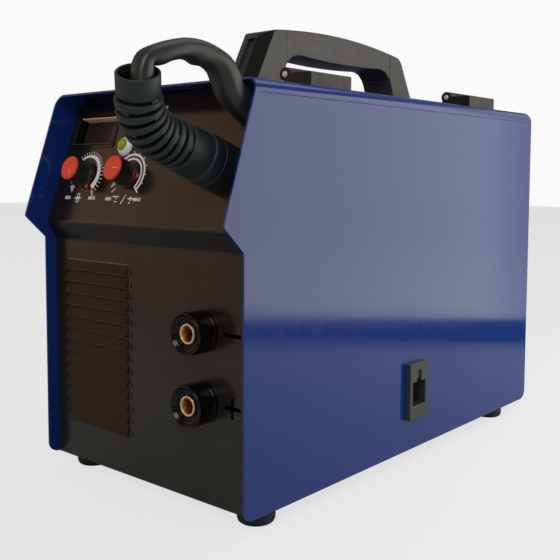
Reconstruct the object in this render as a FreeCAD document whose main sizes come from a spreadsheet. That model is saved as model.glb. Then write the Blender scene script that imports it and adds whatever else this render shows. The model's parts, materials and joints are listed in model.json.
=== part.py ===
import FreeCAD, Part
import math
import os
import Sketcher
from FreeCAD import Placement, Rotation, Vector

# Portable inverter wire-feed welder: a folded sheet case on four rubber feet.
# Row frame: X to the right seen from the front, Y to the back, Z up, floor at Z = 0,
# X = 0 on the case's centre line and Y = 0 half way along its side panels.
# Lengths are millimetres and angles degrees.

SIZES = {
    # Case, side panels and hood
    "case_width": 226.0,
    "case_depth": 436.0,
    "case_height": 300.0,
    "cover_sheet": 1.6,
    "bend_radius": 10.0,
    "corner_radius": 9.0,
    "nose_radius": 3.0,
    "nose_reach": 19.0,
    "nose_rise": 201.2,
    "notch_rise": 183.1,
    "hood_setback": 14.0,
    "seam_inset": 37.0,
    "seam_gap": 0.8,
    "door_gap": 0.4,
    # Base tray and feet
    "tray_sheet": 1.5,
    "tray_flange": 14.0,
    "foot_height": 12.0,
    "foot_radius": 14.0,
    "foot_tip_radius": 12.8,
    "foot_tip_height": 2.5,
    "foot_recess_radius": 7.0,
    "foot_recess_depth": 5.0,
    "foot_side_inset": 19.0,
    "foot_front_inset": 33.0,
    "foot_rear_inset": 47.0,
    "foot_screw_radius": 2.5,
    "foot_screw_head_radius": 5.0,
    "foot_screw_head_height": 3.0,
    "foot_nut_radius": 4.5,
    "foot_nut_height": 4.0,
    # Front panel: a flat lower face, a ledge and a sloping control face
    "panel_sheet": 1.5,
    "panel_setback": 9.8,
    "fold_rise": 181.5,
    "ledge_rise": 196.5,
    "ledge_setback": 1.5,
    "face_tilt": 19.85,
    "louvre_count": 14,
    "louvre_pitch": 9.7,
    "louvre_width": 82.0,
    "louvre_side_inset": 15.0,
    "louvre_first_rise": 31.5,
    "louvre_height": 8.4,
    "louvre_depth": 3.6,
    "louvre_lip": 1.2,
    "louvre_wall": 1.2,
    "louvre_end_taper": 1.8,
    "polarity_mark_length": 16.4,
    "polarity_mark_width": 3.0,
    "polarity_mark_height": 15.0,
    "polarity_mark_offset": 28.5,
    # Output sockets
    "socket_side_inset": 49.0,
    "socket_minus_rise": 124.5,
    "socket_spacing": 51.0,
    "socket_radius": 15.3,
    "socket_length": 18.0,
    "socket_bowl_radius": 11.0,
    "socket_bowl_depth": 4.0,
    "socket_neck_radius": 10.0,
    "socket_neck_length": 12.0,
    "socket_nut_radius": 14.0,
    "socket_nut_height": 6.0,
    "contact_radius": 7.3,
    "contact_stand_out": 2.2,
    "contact_bore_radius": 4.6,
    "contact_bore_depth": 24.0,
    "contact_stud_radius": 4.0,
    "contact_stud_length": 14.0,
    # Controls on the sloping face, each by its place across and up the slope
    "knob_left_inset": 37.0,
    "knob_right_inset": 91.0,
    "knob_up": 40.0,
    "knob_radius": 9.8,
    "knob_foot_radius": 10.2,
    "knob_foot_height": 1.8,
    "knob_length": 16.2,
    "knob_cap_radius": 9.7,
    "knob_cap_height": 1.8,
    "knob_cavity_radius": 7.4,
    "knob_cavity_depth": 3.2,
    "skirt_lift": 0.5,
    "skirt_radius": 11.0,
    "skirt_height": 1.3,
    "pointer_reach": 13.2,
    "pointer_half_width": 2.4,
    "left_pointer_angle": -58.0,
    "right_pointer_angle": -4.0,
    "spindle_radius": 3.0,
    "spindle_clearance": 0.05,
    "spindle_bore_depth": 10.0,
    "bushing_radius": 3.6,
    "bushing_height": 4.0,
    "pot_nut_radius": 6.0,
    "pot_nut_height": 2.2,
    "pot_radius": 8.5,
    "pot_depth": 9.0,
    "panel_hole_clearance": 0.2,
    "display_inset": 34.0,
    "display_up": 78.5,
    "display_width": 50.0,
    "display_height": 26.0,
    "display_lip": 2.0,
    "display_lip_height": 1.0,
    "display_wall": 1.6,
    "display_recess": 7.0,
    "display_window_thickness": 1.5,
    "display_board_thickness": 1.6,
    "display_board_gap": 3.0,
    "lamp_inset": 77.6,
    "lamp_up": 64.0,
    "lamp_bezel_radius": 8.2,
    "lamp_bezel_height": 4.2,
    "lamp_barrel_radius": 5.4,
    "lamp_barrel_length": 9.0,
    "lamp_lens_radius": 4.7,
    "lamp_lens_height": 3.0,
    "lamp_clearance": 0.1,
    # Torch sleeve: neck, smooth base, ribs on a bend and an open collar
    "sleeve_inset": 37.0,
    "sleeve_up": 45.2,
    "sleeve_neck_radius": 12.8,
    "sleeve_neck_length": 12.0,
    "sleeve_nut_radius": 19.0,
    "sleeve_nut_height": 7.0,
    "sleeve_bore_radius": 10.5,
    "sleeve_base_radius": 18.4,
    "sleeve_base_length": 25.0,
    "sleeve_step_radius": 17.0,
    "sleeve_step_length": 18.5,
    "sleeve_straight": 58.5,
    "sleeve_bend_radius": 39.9,
    "sleeve_bend_angle": 52.2,
    "sleeve_bend_turn": 28.5,
    "sleeve_rib_radius_low": 16.8,
    "sleeve_rib_radius_high": 15.2,
    "sleeve_root_depth": 2.6,
    "sleeve_rib_count": 8,
    "sleeve_collar_radius": 14.0,
    "sleeve_collar_length": 16.3,
    "sleeve_collar_bore_radius": 12.3,
    "sleeve_collar_bore_depth": 14.0,
    # Finger grip from the sleeve's collar back to the panel's top right
    "grip_foot_inset": 15.5,
    "grip_foot_up": 84.0,
    "grip_leg_half_width": 10.3,
    "grip_leg_half_depth": 10.9,
    "grip_bar_half_width": 9.6,
    "grip_bar_half_depth": 6.6,
    "grip_finger_bump": 1.5,
    "grip_tip_half": 7.2,
    "grip_tip_sink": 9.0,
    "grip_tip_aside": 3.9,
    "grip_rise": 37.8,
    "grip_seat_radius": 13.6,
    "grip_seat_height": 7.0,
    "grip_seat_wall": 2.8,
    "grip_bolt_radius": 4.0,
    "grip_bolt_head_radius": 6.5,
    "grip_bolt_head_height": 5.0,
    "grip_bolt_reach": 14.0,
    # Carry handle on the hood
    "handle_shift": 18.0,
    "handle_width": 34.0,
    "handle_foot_span": 255.0,
    "handle_top_span": 197.0,
    "handle_end_rise": 52.5,
    "handle_front_rise": 56.5,
    "handle_crown": 7.0,
    "handle_corner_radius": 9.0,
    "handle_opening_span": 183.0,
    "handle_opening_lean": 15.0,
    "handle_opening_rise": 39.8,
    "handle_opening_corner": 24.0,
    "handle_palm_drop": 3.4,
    "handle_edge_radius": 4.0,
    "handle_cap_span": 159.4,
    "handle_screw_radius": 2.5,
    "handle_screw_reach": 14.0,
    "handle_screw_head_radius": 5.0,
    "handle_screw_head_height": 3.0,
    "handle_screw_inset": 16.0,
    # Door hinges: two knuckle hinges on the hood beside the seam
    "hinge_axis_rise": 10.0,
    "hinge_barrel_radius": 5.3,
    "hinge_pin_radius": 2.4,
    "hinge_pin_clearance": 0.05,
    "hinge_length": 50.0,
    "hinge_front_place": -109.0,
    "hinge_rear_place": 131.5,
    "hinge_knuckle": 20.0,
    "hinge_knuckle_gap": 0.5,
    "hinge_door_leaf_width": 25.0,
    "hinge_door_leaf_height": 10.6,
    "hinge_plate_width": 30.0,
    "hinge_plate_thickness": 3.6,
    "hinge_plate_gap": 6.5,
    "hinge_web_height": 8.5,
    # Slide latch in the door
    "latch_place": -4.0,
    "latch_rise": 51.3,
    "latch_width": 28.0,
    "latch_height": 48.5,
    "latch_proud": 5.0,
    "latch_depth": 9.0,
    "latch_border": 3.3,
    "latch_fit": 0.3,
    "latch_back_wall": 2.0,
    "latch_recess_width": 20.5,
    "latch_recess_height": 20.5,
    "latch_recess_drop": 1.0,
    "latch_slot_width": 6.4,
    "latch_slot_rise": 9.5,
    "latch_nib_width": 5.6,
    "latch_nib_height": 6.6,
    "latch_nib_sink": 1.6,
    "latch_travel": 8.0,
    "latch_plate_thickness": 2.6,
    "latch_plate_width": 16.0,
    "latch_plate_height": 16.0,
    "latch_hook_reach": 6.0,
    "latch_hook_thickness": 2.5,
    "latch_hook_drop": 6.5,
    "keeper_sheet": 1.5,
    "keeper_width": 24.0,
    "keeper_foot": 14.0,
    "keeper_clearance": 0.8,
    # Rear panel and what it carries
    "rear_setback": 10.0,
    "rear_sheet": 1.5,
    "fan_side_gap": 5.9,
    "fan_rise": 180.0,
    "fan_size": 119.0,
    "fan_depth": 25.0,
    "fan_opening_inset": 3.5,
    "fan_hub_radius": 19.0,
    "fan_tip_clearance": 1.5,
    "fan_blade_count": 7,
    "fan_blade_pitch": 38.0,
    "fan_blade_thickness": 1.6,
    "fan_blade_chord": 16.0,
    "fan_strut_thickness": 3.0,
    "fan_strut_width": 6.0,
    "fan_axle_radius": 3.0,
    "guard_wire_radius": 1.2,
    "guard_ring_count": 5,
    "guard_inset": 2.5,
    "switch_inset": 51.0,
    "switch_hood_gap": 18.9,
    "switch_width": 22.0,
    "switch_height": 30.0,
    "switch_depth": 22.0,
    "switch_flange": 2.5,
    "switch_flange_height": 2.0,
    "rocker_gap": 0.5,
    "rocker_tilt": 9.0,
    "rocker_stand_out": 2.6,
    "rocker_end_gap": 2.0,
    "rocker_pin_radius": 1.5,
    "rocker_pin_depth": 0.5,
    "gland_inset": 51.0,
    "gland_rise": 60.0,
    "gland_bore_radius": 4.5,
    "gland_thread_radius": 9.0,
    "gland_flange_radius": 13.0,
    "gland_length": 22.0,
    "gas_inset": 25.0,
    "gas_rise": 165.0,
    "gas_tail_radius": 4.0,
    "gas_bore_radius": 2.2,
    "gas_tail_length": 20.0,
    "gas_nut_radius": 8.0,
    "ground_inset": 23.0,
    "ground_rise": 40.0,
    "ground_radius": 3.0,
    "ground_length": 14.0,
    "ground_nut_radius": 5.5,
    "ground_nut_height": 4.5,
    # Wire bay: partition, spool on its hub, feeder set in line with the sleeve
    "partition_fan_gap": 6.5,
    "partition_sheet": 1.5,
    "partition_gap": 2.0,
    "partition_foot": 14.0,
    "spool_place": 68.0,
    "spool_rise": 156.0,
    "spool_radius": 100.0,
    "spool_width": 55.0,
    "spool_flange": 2.5,
    "spool_core_radius": 28.0,
    "spool_bore_radius": 25.08,
    "spool_hub_radius": 25.0,
    "spool_stand_off": 4.0,
    "wire_pack_radius": 70.0,
    "spool_nut_radius": 31.0,
    "spool_nut_height": 8.0,
    "feeder_back": 75.0,
    "feeder_plate_offset": 12.0,
    "feeder_plate_thickness": 4.0,
    "feeder_plate_length": 76.0,
    "feeder_plate_height": 88.0,
    "feeder_spacer_radius": 4.0,
    "motor_radius": 17.0,
    "drive_roll_radius": 15.0,
    "pressure_roll_radius": 11.0,
    "roll_width": 12.0,
    "roll_wire_gap": 0.6,
    "shaft_radius": 3.0,
    "shaft_clearance": 0.05,
    "arm_thickness": 4.0,
    "arm_height": 12.0,
    "arm_length": 70.0,
    "arm_pivot_forward": 29.0,
    "arm_knob_back": 27.0,
    "tension_knob_radius": 8.0,
    "tension_knob_height": 16.0,
    "tension_screw_radius": 2.0,
    "guide_tube_radius": 4.0,
    "guide_bore_radius": 1.2,
    "guide_length": 50.0,
    "guide_end_back": 18.0,
    "guide_block_length": 8.0,
    # Power electronics in the left bay
    "heatsink_width": 90.0,
    "heatsink_length": 170.0,
    "heatsink_height": 46.0,
    "heatsink_base": 8.0,
    "heatsink_fin": 3.0,
    "heatsink_fin_count": 10,
    "heatsink_left_inset": 12.0,
    "board_width": 112.0,
    "board_length": 250.0,
    "board_thickness": 1.6,
    "capacitor_radius": 12.5,
    "capacitor_height": 32.0,
    "capacitor_end_inset": 24.0,
    "transformer_width": 44.0,
    "transformer_length": 40.0,
    "transformer_height": 38.0,
    "choke_ring_radius": 20.0,
    "choke_section_radius": 9.0,
    # Case screws
    "screw_radius": 2.0,
    "screw_head_radius": 3.9,
    "screw_head_height": 2.2,
    "screw_length": 8.0,
    "screw_end_inset": 70.0,
}

doc = FreeCAD.newDocument("welder")
sheet = doc.addObject("Spreadsheet::Sheet", "sizes")
for row, (alias, number) in enumerate(SIZES.items(), 1):
    sheet.set(f"A{row}", alias)
    sheet.set(f"B{row}", str(number))
    sheet.setAlias(f"B{row}", alias)
doc.recompute()


# A size that knows its value and the sheet formula it came from, so one sum
# gives both the starting geometry and the expression that drives it.
class Size:
    def __init__(self, value, formula=None):
        self.value = float(value)
        self.formula = formula if formula else f"({self.value:.10f})"

    def joined(self, other, sign, value):
        return Size(value, f"({self.formula} {sign} {other.formula})")

    def __add__(self, other):
        other = as_size(other)
        return self.joined(other, "+", self.value + other.value)

    def __radd__(self, other):
        return as_size(other) + self

    def __sub__(self, other):
        other = as_size(other)
        return self.joined(other, "-", self.value - other.value)

    def __rsub__(self, other):
        return as_size(other) - self

    def __mul__(self, other):
        other = as_size(other)
        return self.joined(other, "*", self.value * other.value)

    def __rmul__(self, other):
        return as_size(other) * self

    def __truediv__(self, other):
        other = as_size(other)
        return self.joined(other, "/", self.value / other.value)

    def __neg__(self):
        return Size(-self.value, f"(0 - {self.formula})")


def as_size(number):
    return number if isinstance(number, Size) else Size(number)


def sine(angle):
    return Size(math.sin(math.radians(angle.value)), f"sin({angle.formula})")


def cosine(angle):
    return Size(math.cos(math.radians(angle.value)), f"cos({angle.formula})")


def root(number):
    return Size(math.sqrt(number.value), f"sqrt({number.formula})")


class Named:
    pass


S = Named()
for alias in SIZES:
    setattr(S, alias, Size(sheet.get(alias), f"sizes.{alias}"))

ZERO = Size(0)

# Planes that several pieces share
half_width = S.case_width / 2
front = -(S.case_depth / 2)
back = S.case_depth / 2
case_top = S.foot_height + S.case_height
hood_under = case_top - S.cover_sheet
left_inside = S.cover_sheet - half_width
right_inside = half_width - S.cover_sheet
panel_right = right_inside - S.door_gap
panel_face = front + S.panel_setback
panel_back = panel_face + S.panel_sheet
rear_face = back - S.rear_setback
rear_inside = rear_face - S.rear_sheet
tray_top = S.foot_height + S.tray_sheet
panel_top = hood_under - S.door_gap
ledge_y = front + S.ledge_setback
ledge_z = S.foot_height + S.ledge_rise
tilt_sine = sine(S.face_tilt)
tilt_cosine = cosine(S.face_tilt)
face_thickness = S.panel_sheet * tilt_cosine
face_top_y = ledge_y + (panel_top - ledge_z) * tilt_sine / tilt_cosine
hinge_x = half_width - S.seam_inset
knob_left_x = S.knob_left_inset - half_width
knob_right_x = S.knob_right_inset - half_width
display_x = S.display_inset - half_width
lamp_x = S.lamp_inset - half_width
sleeve_x = half_width - S.sleeve_inset
grip_foot_x = half_width - S.grip_foot_inset
fan_x = left_inside + S.fan_side_gap + S.fan_size / 2
partition_x = fan_x + S.fan_size / 2 + S.partition_fan_gap
switch_x = half_width - S.switch_inset
switch_z = hood_under - S.switch_hood_gap - S.switch_flange - S.switch_height / 2
gland_x = half_width - S.gland_inset
gas_x = half_width - S.gas_inset
ground_x = S.ground_inset - half_width
hinge_z = case_top + S.hinge_axis_rise
FACING_FRONT = Size(90)
FACE_TURN = Size(90) - S.face_tilt

nodes = {}
circuit_boards = []
case_screws = []


def on_face(across, up, out):
    """A point on the sloping control face, by its place across, up and out of it."""
    up = as_size(up)
    out = as_size(out)
    y = ledge_y + up * tilt_sine - out * tilt_cosine
    z = ledge_z + up * tilt_cosine + out * tilt_sine
    return as_size(across), y, z


def bind(thing, **sizes):
    for name, size in sizes.items():
        thing.setExpression(name, as_size(size).formula)


def put(thing, at, turn=None, axis=(1, 0, 0)):
    """Place a thing at three sizes, turned about a fixed axis."""
    angle = turn.value if turn else 0.0
    thing.Placement = Placement(Vector(*[as_size(n).value for n in at]), Rotation(Vector(*axis), angle))
    for name, size in zip("xyz", at):
        thing.setExpression(f"Placement.Base.{name}", as_size(size).formula)
    if turn:
        thing.setExpression("Placement.Rotation.Angle", turn.formula)
    return thing


def add(kind, name):
    thing = doc.addObject(kind, name)
    thing.Label = name
    return thing


def box(name, low, high):
    thing = add("Part::Box", name)
    low = [as_size(n) for n in low]
    high = [as_size(n) for n in high]
    bind(thing, Length=high[0] - low[0], Width=high[1] - low[1], Height=high[2] - low[2])
    return put(thing, low)


def face_box(name, low, high):
    """A box square to the control face: across, up and out."""
    thing = add("Part::Box", name)
    low = [as_size(n) for n in low]
    high = [as_size(n) for n in high]
    bind(thing, Length=high[0] - low[0], Width=high[1] - low[1], Height=high[2] - low[2])
    return put(thing, on_face(*low), FACE_TURN)


def rod(name, at, radius, length, along="Z"):
    """A cylinder from a point along an axis; F is square out of the control face."""
    thing = add("Part::Cylinder", name)
    bind(thing, Radius=radius, Height=length)
    turns = {
        "Z": (None, (1, 0, 0)),
        "X": (Size(90), (0, 1, 0)),
        "Y": (Size(90), (-1, 0, 0)),
        "-Y": (Size(90), (1, 0, 0)),
        "F": (FACE_TURN, (1, 0, 0)),
    }
    turn, axis = turns[along]
    return put(thing, at, turn, axis)


def fuse(name, things):
    thing = add("Part::MultiFuse", name)
    thing.Shapes = things
    return thing


def cut(name, base, tools):
    tool = tools[0] if len(tools) == 1 else fuse(name + "_cutters", tools)
    thing = add("Part::Cut", name)
    thing.Base = base
    thing.Tool = tool
    return thing


def drill(name, tools):
    """Cut tools out of a node that is already built, keeping its name."""
    blank = nodes[name]
    blank.Label = name + "_undrilled"
    thing = cut(name + "_drilled", blank, tools)
    thing.Label = name
    nodes[name] = thing


def group(name, things):
    thing = add("Part::Compound", name)
    thing.Links = things
    return thing


def new_body(name):
    return add("PartDesign::Body", name)


def new_sketch(body, role, name, lift=ZERO):
    """A sketch on one of the body's own origin planes, moved along its normal."""
    sketch = body.newObject("Sketcher::SketchObject", name)
    plane = [item for item in body.Origin.OriginFeatures if item.Role == role][0]
    sketch.AttachmentSupport = [(plane, "")]
    sketch.MapMode = "FlatFace"
    sketch.AttachmentOffset = Placement(Vector(0, 0, lift.value), Rotation())
    sketch.setExpression("AttachmentOffset.Base.z", lift.formula)
    return sketch


def face_sketch(body, name):
    """A sketch on the sloping control face, with its origin on the ledge fold."""
    sketch = new_sketch(body, "XZ_Plane", name, -ledge_y)
    lean = Rotation(Vector(-1, 0, 0), S.face_tilt.value)
    sketch.AttachmentOffset = Placement(Vector(0, ledge_z.value, -ledge_y.value), lean)
    sketch.setExpression("AttachmentOffset.Base.y", ledge_z.formula)
    sketch.setExpression("AttachmentOffset.Rotation.Angle", S.face_tilt.formula)
    return sketch


def fix(sketch, geometry, vertex, x, y):
    for kind, size in (("DistanceX", as_size(x)), ("DistanceY", as_size(y))):
        number = sketch.addConstraint(Sketcher.Constraint(kind, -1, 1, geometry, vertex, size.value))
        sketch.setExpression(f"Constraints[{number}]", size.formula)


def draw_circle(sketch, x, y, radius):
    x, y, radius = as_size(x), as_size(y), as_size(radius)
    circle = Part.Circle(Vector(x.value, y.value, 0), Vector(0, 0, 1), radius.value)
    number = sketch.addGeometry(circle, False)
    fix(sketch, number, 3, x, y)
    constraint = sketch.addConstraint(Sketcher.Constraint("Radius", number, radius.value))
    sketch.setExpression(f"Constraints[{constraint}]", radius.formula)


def draw_outline(sketch, points):
    """A closed outline. A third size in a point is the radius of the arc that
    arrives there: positive turns left on the way, negative turns right."""
    points = [tuple(as_size(n) for n in point) for point in points]
    pieces = []
    for number, end in enumerate(points):
        start = points[number - 1]
        a = Vector(start[0].value, start[1].value, 0)
        b = Vector(end[0].value, end[1].value, 0)
        if len(end) == 2:
            pieces.append((sketch.addGeometry(Part.LineSegment(a, b), False), 1, 2))
            continue
        radius = abs(end[2].value)
        chord = b - a
        left = Vector(-chord.y, chord.x, 0).normalize()
        reach = math.sqrt(max(radius ** 2 - (chord.Length / 2) ** 2, 0))
        centre = (a + b) * 0.5 + left * (reach if end[2].value > 0 else -reach)
        first, last = (a, b) if end[2].value > 0 else (b, a)
        turn = [math.atan2(p.y - centre.y, p.x - centre.x) for p in (first, last)]
        circle = Part.Circle(centre, Vector(0, 0, 1), radius)
        geometry = sketch.addGeometry(Part.ArcOfCircle(circle, turn[0], turn[1]), False)
        pieces.append((geometry, 1, 2) if end[2].value > 0 else (geometry, 2, 1))
    for number, (geometry, begin, finish) in enumerate(pieces):
        following = pieces[(number + 1) % len(pieces)]
        sketch.addConstraint(Sketcher.Constraint("Coincident", geometry, finish, following[0], following[1]))
    for (geometry, begin, finish), end in zip(pieces, points):
        fix(sketch, geometry, finish, end[0], end[1])
        if len(end) == 3:
            size = end[2] if end[2].value > 0 else -end[2]
            number = sketch.addConstraint(Sketcher.Constraint("Radius", geometry, size.value))
            sketch.setExpression(f"Constraints[{number}]", size.formula)


def draw_box(sketch, x0, y0, x1, y1):
    draw_outline(sketch, [(x0, y0), (x1, y0), (x1, y1), (x0, y1)])


def pad(body, sketch, length, both_ways=False):
    feature = body.newObject("PartDesign::Pad", sketch.Label + "_pad")
    feature.Profile = sketch
    feature.Midplane = both_ways
    bind(feature, Length=length)
    return feature


def pocket(body, sketch, length=None):
    """A pocket both ways from its sketch: through everything, or over a length."""
    feature = body.newObject("PartDesign::Pocket", sketch.Label + "_pocket")
    feature.Profile = sketch
    feature.Midplane = True
    if length is None:
        feature.Type = "ThroughAll"
    else:
        bind(feature, Length=length)
    return feature


def spun(name, points, at, turn=None, axis=(1, 0, 0)):
    """A turned piece: its half section in the XZ plane, spun about its own Z."""
    body = new_body(name)
    sketch = new_sketch(body, "XZ_Plane", name + "_section")
    draw_outline(sketch, points)
    feature = body.newObject("PartDesign::Revolution", name + "_turned")
    feature.Profile = sketch
    feature.ReferenceAxis = (sketch, ["V_Axis"])
    feature.Angle = 360
    return put(body, at, turn, axis)


def soften(body, kind, name, size, wanted):
    """Fillet or chamfer the edges of the body so far whose middle is wanted."""
    doc.recompute()
    base = body.Tip
    edges = base.Shape.Edges
    names = [f"Edge{number}" for number, edge in enumerate(edges, 1) if wanted(edge)]
    if not names:
        raise RuntimeError(f"{name} found no edge to soften")
    feature = body.newObject("PartDesign::" + kind, name)
    feature.Base = (base, names)
    if kind == "Fillet":
        bind(feature, Radius=size)
    else:
        bind(feature, Size=size)
    return feature


def middle(edge):
    return edge.valueAt((edge.FirstParameter + edge.LastParameter) / 2)


def near(value, size, room=0.05):
    return abs(value - as_size(size).value) < room


def runs_along(edge, axis):
    start = edge.valueAt(edge.FirstParameter)
    end = edge.valueAt(edge.LastParameter)
    step = end - start
    return step.Length > 0 and abs(step.normalize().dot(axis)) > 0.9999


# Cover and side door: two folded skins that share one front outline. The cover is
# the left side and the hood, the door the right side with a strip of the hood.
def trim_front(body, name):
    """Cut the skin's front edge to the outline of the side panels."""
    sketch = new_sketch(body, "YZ_Plane", name + "_front_outline")
    far = front - S.nose_reach - 10
    draw_outline(sketch, [
        (far, ZERO),
        (front, ZERO),
        (front, S.foot_height + S.notch_rise),
        (front - S.nose_reach, S.foot_height + S.nose_rise),
        (front + S.hood_setback, case_top),
        (front + S.hood_setback, case_top + 10),
        (far, case_top + 10),
    ])
    pocket(body, sketch)


def skin(name, section, outside_x, inside_x):
    body = new_body(name)
    sketch = new_sketch(body, "XZ_Plane", name + "_section", -back)
    draw_outline(sketch, section)
    pad(body, sketch, S.case_depth + S.nose_reach)
    soften(body, "Fillet", name + "_outer_bend", S.bend_radius,
           lambda edge: near(middle(edge).x, outside_x) and near(middle(edge).z, case_top)
           and runs_along(edge, Vector(0, 1, 0)))
    soften(body, "Fillet", name + "_inner_bend", S.bend_radius - S.cover_sheet,
           lambda edge: near(middle(edge).x, inside_x) and near(middle(edge).z, hood_under)
           and runs_along(edge, Vector(0, 1, 0)))
    trim_front(body, name)
    corners = [(front, S.foot_height), (back, S.foot_height)]
    soften(body, "Fillet", name + "_corners", S.corner_radius,
           lambda edge: runs_along(edge, Vector(1, 0, 0)) and any(
               near(middle(edge).y, y) and near(middle(edge).z, z) for y, z in corners))
    soften(body, "Fillet", name + "_nose", S.nose_radius,
           lambda edge: runs_along(edge, Vector(1, 0, 0))
           and near(middle(edge).y, front - S.nose_reach))
    return body


def make_cover():
    edge = hinge_x - S.seam_gap / 2
    body = skin("cover_shell", [
        (-half_width, S.foot_height),
        (left_inside, S.foot_height),
        (left_inside, hood_under),
        (edge, hood_under),
        (edge, case_top),
        (-half_width, case_top),
    ], -half_width, left_inside)
    nodes["cover_shell"] = body


def make_door():
    edge = hinge_x + S.seam_gap / 2
    body = skin("side_door", [
        (edge, hood_under),
        (right_inside, hood_under),
        (right_inside, S.foot_height),
        (half_width, S.foot_height),
        (half_width, case_top),
        (edge, case_top),
    ], half_width, right_inside)
    sketch = new_sketch(body, "YZ_Plane", "latch_opening", half_width)
    low_y, high_y, low_z, high_z = latch_core(S.latch_fit)
    draw_box(sketch, low_y, low_z, high_y, high_z)
    pocket(body, sketch, S.cover_sheet * 4)
    nodes["side_door"] = body


# Base tray: the chassis pan, folded up at both sides, that carries everything.
def make_tray():
    body = new_body("base_tray")
    right = panel_right
    low = S.foot_height
    high = low + S.tray_flange
    sketch = new_sketch(body, "XZ_Plane", "tray_section", -rear_inside)
    draw_outline(sketch, [
        (left_inside, low),
        (right, low),
        (right, high),
        (right - S.tray_sheet, high),
        (right - S.tray_sheet, tray_top),
        (left_inside + S.tray_sheet, tray_top),
        (left_inside + S.tray_sheet, high),
        (left_inside, high),
    ])
    pad(body, sketch, rear_inside - panel_back)
    holes = new_sketch(body, "XY_Plane", "tray_foot_holes")
    for x, y in foot_places():
        draw_circle(holes, x, y, S.foot_screw_radius + S.panel_hole_clearance)
    pocket(body, holes)
    nodes["base_tray"] = body


def foot_places():
    x = half_width - S.foot_side_inset
    front_y = front + S.foot_front_inset
    rear_y = back - S.foot_rear_inset
    return [(-x, front_y), (x, front_y), (-x, rear_y), (x, rear_y)]


def make_feet():
    names = ["foot_front_left", "foot_front_right", "foot_rear_left", "foot_rear_right"]
    hole = S.foot_screw_radius + S.panel_hole_clearance
    feet, screws = [], []
    for name, (x, y) in zip(names, foot_places()):
        feet.append(spun(name, [
            (hole, S.foot_height),
            (hole, S.foot_recess_depth),
            (S.foot_recess_radius, S.foot_recess_depth),
            (S.foot_recess_radius, ZERO),
            (S.foot_tip_radius, ZERO),
            (S.foot_radius, S.foot_tip_height),
            (S.foot_radius, S.foot_height),
        ], (x, y, ZERO)))
        head_low = S.foot_recess_depth - S.foot_screw_head_height
        nut_top = tray_top + S.foot_nut_height
        screws.append(spun(name + "_screw", [
            (ZERO, head_low),
            (S.foot_screw_head_radius, head_low),
            (S.foot_screw_head_radius, S.foot_recess_depth),
            (S.foot_screw_radius, S.foot_recess_depth),
            (S.foot_screw_radius, tray_top),
            (S.foot_nut_radius, tray_top),
            (S.foot_nut_radius, nut_top),
            (ZERO, nut_top),
        ], (x, y, ZERO)))
    nodes["rubber_feet"] = group("rubber_feet", feet)
    nodes["foot_screws"] = group("foot_screws", screws)


# Front panel: one sheet with a flat lower face, a short ledge and a sloping control
# face, pierced for louvres, sockets, polarity marks, controls, sleeve and grip.
def louvre_outline(depth, wall):
    low = S.foot_height + S.louvre_first_rise
    high = low + S.louvre_height - wall
    inner = panel_back + 1 if wall.value else panel_back
    outer = panel_face - depth
    return [(inner, low), (outer, low), (outer, low + S.louvre_lip), (panel_face, high), (inner, high)]


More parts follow.
